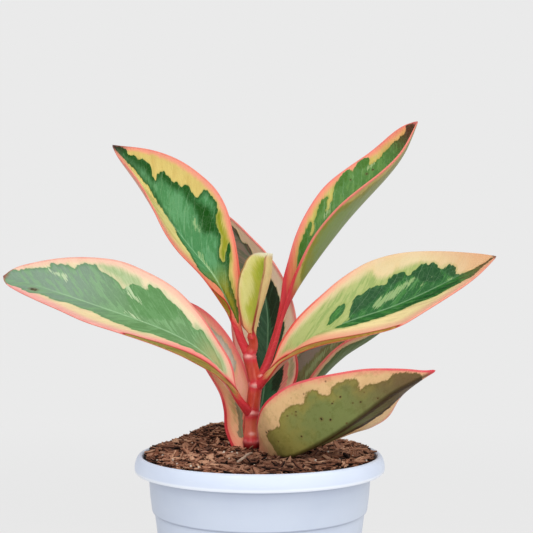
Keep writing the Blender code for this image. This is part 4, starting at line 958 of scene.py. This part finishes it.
# stem
stem = {
    "route": [(-3.5, 0.0, 67.0, 2.6), (-3.5, 0.0, 80.0, 2.7), (-3.5, 0.0, 88.5, 2.8),
              (-3.5, 0.0, 91.0, 3.3), (-3.5, 0.0, 93.5, 3.3), (-3.5, 0.0, 97.5, 2.8),
              (-3.4, 0.0, 101.5, 2.8), (-3.2, 0.0, 104.0, 3.1), (-2.8, 0.0, 106.5, 2.9),
              (-2.3, 0.0, 110.5, 2.8), (-1.9, 0.0, 113.5, 2.8), (-1.7, 0.0, 115.5, 3.0),
              (-2.0, 0.0, 118.0, 2.7), (-3.2, 0.0, 122.5, 2.6), (-4.1, 0.0, 126.5, 2.7),
              (-3.8, -0.2, 128.3, 2.5), (-2.8, -0.6, 130.2, 1.95), (-2.6, -1.4, 132.2, 1.8),
              (-3.1, -2.3, 134.4, 1.85), (-3.4, -2.6, 135.7, 1.6), (-3.5, -2.7, 136.4, 0.8)],
    "nodes": (92.6, 104.0, 115.4, 126.8),      # heights of the rings that leaves grow from
    "ring": 0.16, "ringReach": 0.55,           # each ring stands out, with a furrow above it
    "furrow": 0.14, "furrowReach": 0.5, "furrowLift": 1.2,
    "sides": 48, "flutes": 7, "fluting": 0.05,
    "bud": (118.3, 3.5, 1.3),                  # height, turn and size of the bud in a leaf's corner
    "budReach": (0.3, 0.8),                    # how far it goes round and up the stem
    "glints": [(-4.6, 126.9), (-2.2, 115.1), (-3.0, 104.5), (-3.2, 96.0), (0.6, 119.0)],   # painted highlights on the nodes, seen in front: x and height of each
    "glintShape": (0.62, 1.1), "glintReach": 1.25,     # the smaller number is the wider way
    "red": "B83826", "redFleck": "C9503C", "redLow": "D46A52", "redNode": "C82C3A", "pale": "F4B8B0",
    # foot is the dark red of painted shade at the base, from footTop down to footEnd
    "foot": "68080A", "lowTop": 104.0, "lowEnd": 99.0, "footTop": 95.4, "footEnd": 91.6,
}


def stemFinish():
    p = Paint("stem_skin", {"Coat Weight": 0.05, "Coat Roughness": 0.2, "IOR": 1.42,
                            "Specular IOR Level": 0.35})
    here = p.place()
    height = here.parts()[2] / mm
    mottle = p.noise(here.scaled(1, 1, 0.35), 420.0, 4.0, 0.6)
    dots = p.noise(here, 1500.0, 3.0)
    near, *others = (abs(height + mottle * 1.2 - level - 0.6) for level in stem["nodes"])
    for away in others:
        near = near.least(away)
    # pale band by each node: partly the node's scar, partly a painted highlight on the ring
    scarAndHighlight = (near + (mottle - 0.5) * 2.6).step(1.5, 0.0)
    colour = p.over(tone(stem["red"]), tone(stem["redFleck"]), mottle.step(0.42, 0.7))
    colour = p.over(colour, tone(stem["redLow"]), height.step(stem["lowTop"], stem["lowEnd"]) * 0.6)
    colour = p.over(colour, tone(stem["redNode"]), near.step(3.6, 1.0) * 0.85)
    colour = p.over(colour, tone(stem["pale"]), scarAndHighlight * 0.22)
    # painted shade at the foot of the stem
    paintedShade = (height + mottle * 2.0).step(stem["footTop"], stem["footEnd"])
    colour = p.over(colour, tone(stem["foot"]), paintedShade * 0.95)
    wide, tall = stem["glintShape"]
    # painted highlights on the front of the nodes
    for x, z in stem["glints"]:
        away = here.scaled(wide / mm, 0, tall / mm).away((x * wide, 0, z * tall))
        glint = (away + (mottle - 0.5) * 0.8).step(stem["glintReach"], 0.1)
        colour = p.over(colour, tone(stem["pale"]), glint * 0.6)
    colour = p.tinted(colour, (0.8, 0.72, 0.72), dots.step(0.52, 0.75) * 0.5)
    p.relief(mottle * 0.6 + dots * 0.4, 0.00025, 0.5)
    return p.show(Base_Color=colour, Roughness=0.34 + (dots - 0.5) * 0.16)


def growStem():
    route = smoothThrough(stem["route"], 9)
    centre, radius = route[:, :3], route[:, 3]
    height, angle = centre[:, 2], fullTurn(stem["sides"])
    ring = sum(stem["ring"] * swell(height - level, stem["ringReach"])
               - stem["furrow"] * swell(height - level - stem["furrowLift"], stem["furrowReach"])
               for level in stem["nodes"])
    budHeight, budTurn, budSize = stem["bud"]
    budWide, budTall = stem["budReach"]
    flutes = stem["fluting"] * np.sin(stem["flutes"] * angle + centre[:, 2:] * 0.12)
    bud = budSize * swell(angle - budTurn, budWide) * swell(centre[:, 2:] - budHeight, budTall)
    verts, faces = growTube(centre, (radius + ring)[:, None] + flutes + bud, (0.0, 1.0, 0.0))
    addPiece("stem_body", verts, faces, stemFinish(), "stem", "stem_red")


growStem()
print("stem grown")

# bark mix, in mm
bark = {
    "bottom": [(0.0, 3.3), (32.0, 3.3), (33.3, 4.4), (38.5, 58.0), (41.3, 77.0), (43.3, 80.8), (46.0, 82.7)],
    "mouth": 46.8, "edge": 87.2,     # radius of the wall inside, and the height of the mix there
    "mound": 3.6, "moundCurve": 0.9,
    "uneven": 0.45, "unevenScale": 0.23, "unevenFade": 6.0,     # less of it near the wall
    "heaps": [(-18.5, 26.0, 7.6, 13.5), (5.0, -14.0, -0.8, 11.0), (34.0, 20.0, 1.5, 12.0),
              (14.0, 38.0, 1.5, 14.0), (41.0, -6.0, 0.7, 9.0), (43.0, 10.0, 0.7, 9.0),
              (-41.0, 12.0, 1.3, 9.0)],     # x, y, height, reach
    "bed": 46.4, "bedDepth": 0.9, "bedRise": 0.6, "bedRiseFrom": 43.0,     # the bed lies under the chips
    "rings": 46, "sides": 160,
    "dark": "28140E", "brown": "784832", "tan": "A8745A", "light": "D6A686",
    "fibreDark": "5A3526", "fibreLight": "B98A6C", "grit": "2C1812", "dust": "7C5A4C",
    "paintedShade": (5.0, -29.0, 28.0),     # x, y and reach of the painted shadow the low leaf casts on the mix
    "dry": (36.0, -4.0, 18.0),      # the same of a painted pool of light on the right
    "paintedLightTone": "C09478", "grainTone": "D9CDBD",
}


def barkHeight(x, y):
    r = math.hypot(x, y)
    z = bark["edge"] + bark["mound"] * max(1 - r / bark["mouth"], 0.0) ** bark["moundCurve"]
    for cx, cy, rise, reach in bark["heaps"]:
        z += rise * math.exp(-(math.hypot(x - cx, y - cy) / reach) ** 2)
    fade = min(max((bark["mouth"] - r) / bark["unevenFade"], 0.0), 1.0)
    scale = bark["unevenScale"]
    return z + bark["uneven"] * fade * noise.noise(Vector((x * scale, y * scale, 3.1)))


def barkFinish():
    p = Paint("bark_chip", {"IOR": 1.45, "Specular IOR Level": 0.3})
    chip = p.attribute("chip")         # places along and across a chip, and its shade
    shade = chip.parts()[2]
    here = p.place()
    fibre = p.noise(chip.scaled(0.35, 2.6, 9.0), 1.0, 4.0, 0.65)
    grit = p.noise(here, 1900.0, 3.0, 0.6)
    cloud = p.noise(here, 120.0, 3.0)

    # how far a place on the mix is from a point, in mm
    def fromPoint(x, y):
        return here.scaled(1, 1, 0).away((x * mm, y * mm, 0)) / mm

    stops = zip((0.0, 0.35, 0.65, 1.0), (tone(bark[name]) for name in ("dark", "brown", "tan", "light")))
    colour = p.node("ValToRGB", {"stops": list(stops)}, {0: shade}, "Color")
    for name, mask in (("fibreDark", fibre.step(0.5, 0.32) * 0.75),
                       ("fibreLight", fibre.step(0.62, 0.8) * 0.6),
                       ("grit", grit.step(0.44, 0.3) * 0.7),
                       ("dust", cloud.step(0.55, 0.75) * 0.35)):
        colour = p.over(colour, tone(bark[name]), mask)
    # painted shadow of the low leaf on the mix in front
    x, y, reach = bark["paintedShade"]
    leafShadow = (fromPoint(x, y) + (cloud - 0.5) * 16).step(reach, reach * 0.3)
    colour = p.tinted(colour, (0.5, 0.46, 0.46), leafShadow * 0.85)
    # a painted pool of light on the right of the mix
    x, y, reach = bark["dry"]
    dry = (fromPoint(x, y) + (cloud - 0.5) * 10).step(reach, reach * 0.4)
    colour = p.over(colour, tone(bark["paintedLightTone"]), dry * 0.3)
    # painted shade: the bed in the gaps between the chips and the chips' sides and undersides darkened
    colour = p.tinted(colour, (0.22, 0.17, 0.15), shade.step(0.12, -0.12))
    colour = p.over(colour, tone(bark["grainTone"]), shade.step(1.3, 1.5))
    p.relief(fibre * 0.8 + grit * 0.5, 0.0004, 0.9)
    return p.show(Base_Color=colour, Roughness=0.86 + (grit - 0.5) * 0.2)


def barkBed():
    angle = fullTurn(bark["sides"])
    (_, floor), *side = bark["bottom"]
    rings = [[(r * math.cos(a), r * math.sin(a), z) for a in angle] for r, z in side]
    for k in range(bark["rings"]):
        r = bark["bed"] * (1 - k / bark["rings"])
        sunk = bark["bedDepth"] - bark["bedRise"] * min(max((r - bark["bedRiseFrom"]) / 3.4, 0.0), 1.0)
        ring = []
        for a in angle:
            x, y = r * math.cos(a), r * math.sin(a)
            rough = noise.noise(Vector((x * 0.5, y * 0.5, 8.0))) + 0.5 * noise.noise(Vector((x, y, 2.0)))
            ring.append((x, y, barkHeight(x, y) - sunk + rough * min(1.0, (bark["bed"] - r) / 3)))
        rings.append(ring)
    return closeRings((0.0, 0.0, floor), rings, (0.0, 0.0, barkHeight(0, 0) - bark["bedDepth"]))


# loose chips, from crumbs to broad flakes; a gain is what the last one has more than the first one
looseChips = {
    "count": 5600, "seed": 41, "spread": 46.3,
    "lengths": [(0.36, (1.0, 2.4)), (0.7, (2.4, 4.8)), (0.93, (4.6, 7.4)), (1.0, (7.0, 10.0))],
    "widthShare": (0.2, 0.5), "corners": (6, 8), "bend": 0.5,
    "thick": (0.25, 0.4), "thickPerLength": 0.04,
    "smallBehind": 16.0, "smallLength": 4.6, "smallWidth": 2.0,
    "levelBehind": 8.0, "levelShare": 0.74, "level": 7, "steep": 26,       # how they lie, in degrees
    "lift": (-0.6, 0.2), "liftGain": 0.5,
    "shade": 0.46, "shadeGain": 0.24, "shadeSpread": 0.32,
    "grains": 0.008, "grainLift": 0.9, "grainShade": 2.0,     # pale grains are the first ones laid
    "stemRoom": (-3.5, 3.9),               # x of the stem and the room around it
    "hollow": (5.0, -14.0, 9.0, 0.7),      # x, y, reach and depth of a place where they lie lower
    "faces": ((-0.5, 0.9, -0.75), (0.5, 0.94, -0.06)),     # under and upper side: level, size, shade; the under side's low shade is painted shade on the chips' sides and undersides, and the upper side's rim is a little darker than its middle
}


def scatterChips():
    rng = random.Random(looseChips["seed"])
    stemX, stemRoom = looseChips["stemRoom"]
    hollowX, hollowY, hollowReach, hollowDepth = looseChips["hollow"]
    verts, faces, marks = [], [], []

    # a point of the chip at hand, turned and moved to its place on the mix
    def place(px, py, pz, mark):
        corner = Vector((px, py, pz))
        corner.rotate(pose)
        verts.append((corner.x + x, corner.y + y, corner.z + z))
        marks.append(mark)

    for n in range(looseChips["count"]):
        kind = n / looseChips["count"]
        length = rng.uniform(*next(size for upTo, size in looseChips["lengths"] if kind <= upTo))
        width = length * rng.uniform(*looseChips["widthShare"])
        thick = rng.uniform(*looseChips["thick"]) + looseChips["thickPerLength"] * length
        r = looseChips["spread"] * math.sqrt(rng.random())
        spin = rng.uniform(0, 2 * math.pi)
        x, y = r * math.cos(spin), r * math.sin(spin)
        level = y > looseChips["levelBehind"] or rng.random() < looseChips["levelShare"]
        lean = looseChips["level"] if level else looseChips["steep"]
        if y > looseChips["smallBehind"]:
            length = min(length, looseChips["smallLength"])
            width = min(width, looseChips["smallWidth"])
        pose = Euler((math.radians(rng.gauss(0, lean)), math.radians(rng.gauss(0, lean)),
                      rng.uniform(0, 2 * math.pi)))
        lift = rng.uniform(*looseChips["lift"]) + looseChips["liftGain"] * kind
        usualShade = looseChips["shade"] + looseChips["shadeGain"] * kind
        shade = min(max(rng.gauss(usualShade, looseChips["shadeSpread"]), 0.04), 1.0)
        if kind < looseChips["grains"]:
            length, width, thick = length * 0.5, length * 0.4, length * 0.4
            lift, shade = looseChips["grainLift"], looseChips["grainShade"]
        corners = rng.randint(*looseChips["corners"])
        bend = rng.uniform(-looseChips["bend"], looseChips["bend"])
        outline = []
        for k in range(corners):
            a = 2 * math.pi * (k + rng.uniform(-0.3, 0.3)) / corners
            reach = rng.uniform(0.74, 1.1)
            outline.append((math.cos(a) * length / 2 * reach, math.sin(a) * width / 2 * reach))
        if math.hypot(x - stemX, y) < stemRoom + length * 0.35 or r + length * 0.4 > bark["mouth"]:
            continue
        z = barkHeight(x, y) + lift
        if math.hypot(x - hollowX, y - hollowY) < hollowReach:
            z -= hollowDepth
        start = len(verts)
        for side, shrink, paler in looseChips["faces"]:
            for px, py in outline:
                pz = side * thick + bend * (2 * px / length) ** 2 + rng.uniform(-0.12, 0.12) * thick
                place(px * shrink, py * shrink, pz, (px + n * 3.7, py, shade + paler))
        # the middle of the top, paler than its rim, which holds a little painted shade
        place(rng.uniform(-0.1, 0.1) * length, 0.0, 0.6 * thick, (n * 3.7, 0.0, shade + 0.08))
        faces.append(tuple(range(start, start + corners)))
        faces += stitch(2, corners, start) + fan(start + corners, corners, start + 2 * corners)
    return verts, faces, marks


# a dry twig that lies on the chips
twig = {
    # x, y and radius
    "route": [(-8.0, -31.0, 0.42), (-6.4, -25.6, 0.55), (-4.6, -20.2, 0.5), (-2.9, -14.6, 0.36)],
    "lift": 1.1, "shade": 1.39,
    "sides": 10, "ridges": 3, "ridgeHeight": 0.16, "ridgeTwist": 0.4,
}


def layTwig():
    route = smoothThrough([(x, y, barkHeight(x, y) + twig["lift"], r) for x, y, r in twig["route"]], 8)
    centre, radius = route[:, :3], route[:, 3]
    count, sides = len(centre), twig["sides"]
    turn = twig["ridges"] * fullTurn(sides) + np.arange(count)[:, None] * twig["ridgeTwist"]
    size = radius[:, None] * (1 + twig["ridgeHeight"] * np.sin(turn))
    piece = addPiece("bark_twig", *growTube(centre, size, (0.0, 0.0, 1.0)), barkSkin, None, "bark_mix")
    keep(piece, "chip", [(i // sides * 0.6, i % sides * 0.5, twig["shade"]) for i in range(count * sides)])


barkSkin = barkFinish()
bedVerts, bedFaces = barkBed()
bed = addPiece("bark_bed", bedVerts, bedFaces, barkSkin, "soil", "bark_mix")
# the bed's low shade darkens it as painted shade in the gaps between the chips
keep(bed, "chip", [(x * 1.3, y * 1.3, -0.1) for x, y, z in bedVerts])
chipVerts, chipFaces, chipMarks = scatterChips()
chips = addPiece("bark_chips", chipVerts, chipFaces, barkSkin, None, "bark_mix", smooth=False)
keep(chips, "chip", chipMarks)
layTwig()
print("bark laid:", len(chipFaces), "faces")

# pot, in mm
pot = {
    "profile": [(0.0, 3.0), (32.4, 3.0), (33.6, 4.2), (38.8, 58.0), (41.6, 77.0), (43.6, 80.6), (46.3, 82.4),
                (46.75, 85.8), (46.95, 87.4), (47.3, 87.85), (47.9, 88.0), (48.5, 87.8), (49.0, 87.2),
                (49.5, 86.2), (49.85, 85.0), (50.0, 83.8), (50.0, 82.6), (49.9, 81.9), (49.4, 81.5),
                (48.6, 81.4), (45.9, 81.05), (45.0, 80.6), (44.5, 79.8), (44.2, 77.0), (43.8, 72.0),
                (43.1, 66.7), (42.95, 66.2), (42.3, 66.0), (41.85, 65.5), (41.9, 64.6), (41.0, 58.0),
                (35.7, 4.0), (35.5, 2.4), (35.1, 1.2), (34.5, 0.35), (33.6, 0.0), (0.0, 0.0)],
    "sides": 256, "crease": 50,     # degrees from which an edge looks sharp
    "colour": "D6E0F2", "hazeTone": "C9D4EA", "dragTone": "E4ECF8", "lipHighlight": "F2F6FD",
    "lip": [(81.3, 81.8), (83.2, 82.2)],     # heights between which the painted highlight on the lip comes in, and goes out
    "shadeBands": [((0.87, 0.87, 0.865), (81.4, 79.6)),     # the same for tints of painted shade on the wall under the rim and in the step
              ((0.86, 0.86, 0.88), (76.0, 80.5), (81.5, 81.3)),
              ((0.74, 0.75, 0.78), (79.6, 80.6), (81.5, 81.3)),
              ((0.68, 0.69, 0.73), (65.2, 65.7), (66.7, 66.1))],
}


def potFinish():
    p = Paint("nursery_pot", {"IOR": 1.46, "Coat Weight": 0.05, "Coat Roughness": 0.3})
    here = p.place()
    haze = p.noise(here, 40.0, 3.0)
    grain = p.noise(here, 2400.0, 2.0)
    drag = p.noise(here.scaled(1, 1, 9), 90.0, 3.0)
    height = here.parts()[2] / mm

    # 1 between heights
    def zone(slopes):
        mask = 1.0
        for low, high in slopes:
            mask = height.step(low, high) * mask
        return mask

    colour = p.over(tone(pot["colour"]), tone(pot["hazeTone"]), haze.step(0.35, 0.7) * 0.5)
    colour = p.over(colour, tone(pot["dragTone"]), drag.step(0.6, 0.85) * 0.35)
    # painted shade under the rim and in the step
    for tint, *slopes in pot["shadeBands"]:
        colour = p.tinted(colour, tint, zone(slopes))
    # painted highlight along the lip of the rim
    colour = p.over(colour, tone(pot["lipHighlight"]), zone(pot["lip"]) * 0.75)
    p.relief(grain * 0.5 + drag * 0.5, 0.00005, 0.35)
    return p.show(Base_Color=colour, Roughness=0.4 + (haze - 0.5) * 0.12 + (grain - 0.5) * 0.08)


def turnPot():
    (_, inside), *rows, (_, outside) = pot["profile"]
    rings = [[(r * math.cos(a), r * math.sin(a), z) for a in fullTurn(pot["sides"])] for r, z in rows]
    verts, faces = closeRings((0.0, 0.0, inside), rings, (0.0, 0.0, outside))
    body = addPiece("nursery_pot", verts, faces, potFinish(), "pot", "pot_plastic")
    body.data.set_sharp_from_angle(angle=math.radians(pot["crease"]))


turnPot()
print("pot turned")

# floor and backdrop, in metres
studio = {
    "backdrop": 0.823,           # what the camera sees behind the plant
    "ambient": 0.62,
    "floor": 4.0, "floorDrop": 0.0002,
    "floorTones": [(0.82, 0.82, 0.82), (0.84, 0.84, 0.84)],
    "melt": [(0.82, 0.16, 0.24), (0.18, 0.24, 0.8)],     # share, and the distances between which it melts
    "lights": [                  # name, place, aim, size in m, watts, colour
        ("high_softbox", (0.55, -0.25, 0.95), (0.0, 0.0, 0.14), 0.5, 2.6, (1.0, 0.985, 0.97)),
        ("front_softbox", (-0.2, -0.75, 1.05), (0.0, 0.0, 0.12), 0.6, 3.1, (1.0, 1.0, 1.0)),
        ("fill_softbox", (0.15, -1.35, 0.35), (0.0, 0.0, 0.12), 1.0, 6.5, (1.0, 1.0, 1.0)),
    ],
}


def hangBackdrop():
    scene.world = bpy.data.worlds.new("studio")
    sky = Nodes(scene.world)
    lit, seen = (sky.node("Background", {}, {"Color": (1, 1, 1), "Strength": studio[name]})
                 for name in ("ambient", "backdrop"))
    sky.end("World", sky.mixShader(sky.node("LightPath", {}, {}, "Is Camera Ray"), lit, seen))


def placeLights():
    for name, place, aim, size, watts, colour in studio["lights"]:
        lamp = bpy.data.lights.new(name, "AREA")
        lamp.shape = "DISK"
        lamp.size = size
        lamp.energy = watts
        lamp.color = colour
        holder = bpy.data.objects.new(name, lamp)
        holder.location = place
        holder.rotation_euler = (Vector(aim) - Vector(place)).to_track_quat("-Z", "Y").to_euler()
        scene.collection.objects.link(holder)


# the floor melts into the backdrop with distance
def layFloor():
    p = Paint("studio_floor", {"Roughness": 0.9, "Specular IOR Level": 0.1})
    away = p.place().away((0, 0, 0))
    p.show(Base_Color=p.over(*studio["floorTones"], p.noise(p.place(), 60.0, 3.0)))
    glow = p.node("Emission", {}, {"Color": (1, 1, 1), "Strength": studio["backdrop"]})
    near, far = (share * away.step(start, end) for share, start, end in studio["melt"])
    p.end("Material", p.mixShader(near + far, Wire(p, p.shader.outputs[0]), glow))
    bpy.ops.mesh.primitive_circle_add(vertices=96, radius=studio["floor"], fill_type="NGON",
                                      location=(0, 0, -studio["floorDrop"]))
    floor = bpy.context.active_object
    floor.name = "studio_floor"
    floor.data.materials.append(p.material)


hangBackdrop()
placeLights()
layFloor()
print("studio lit")
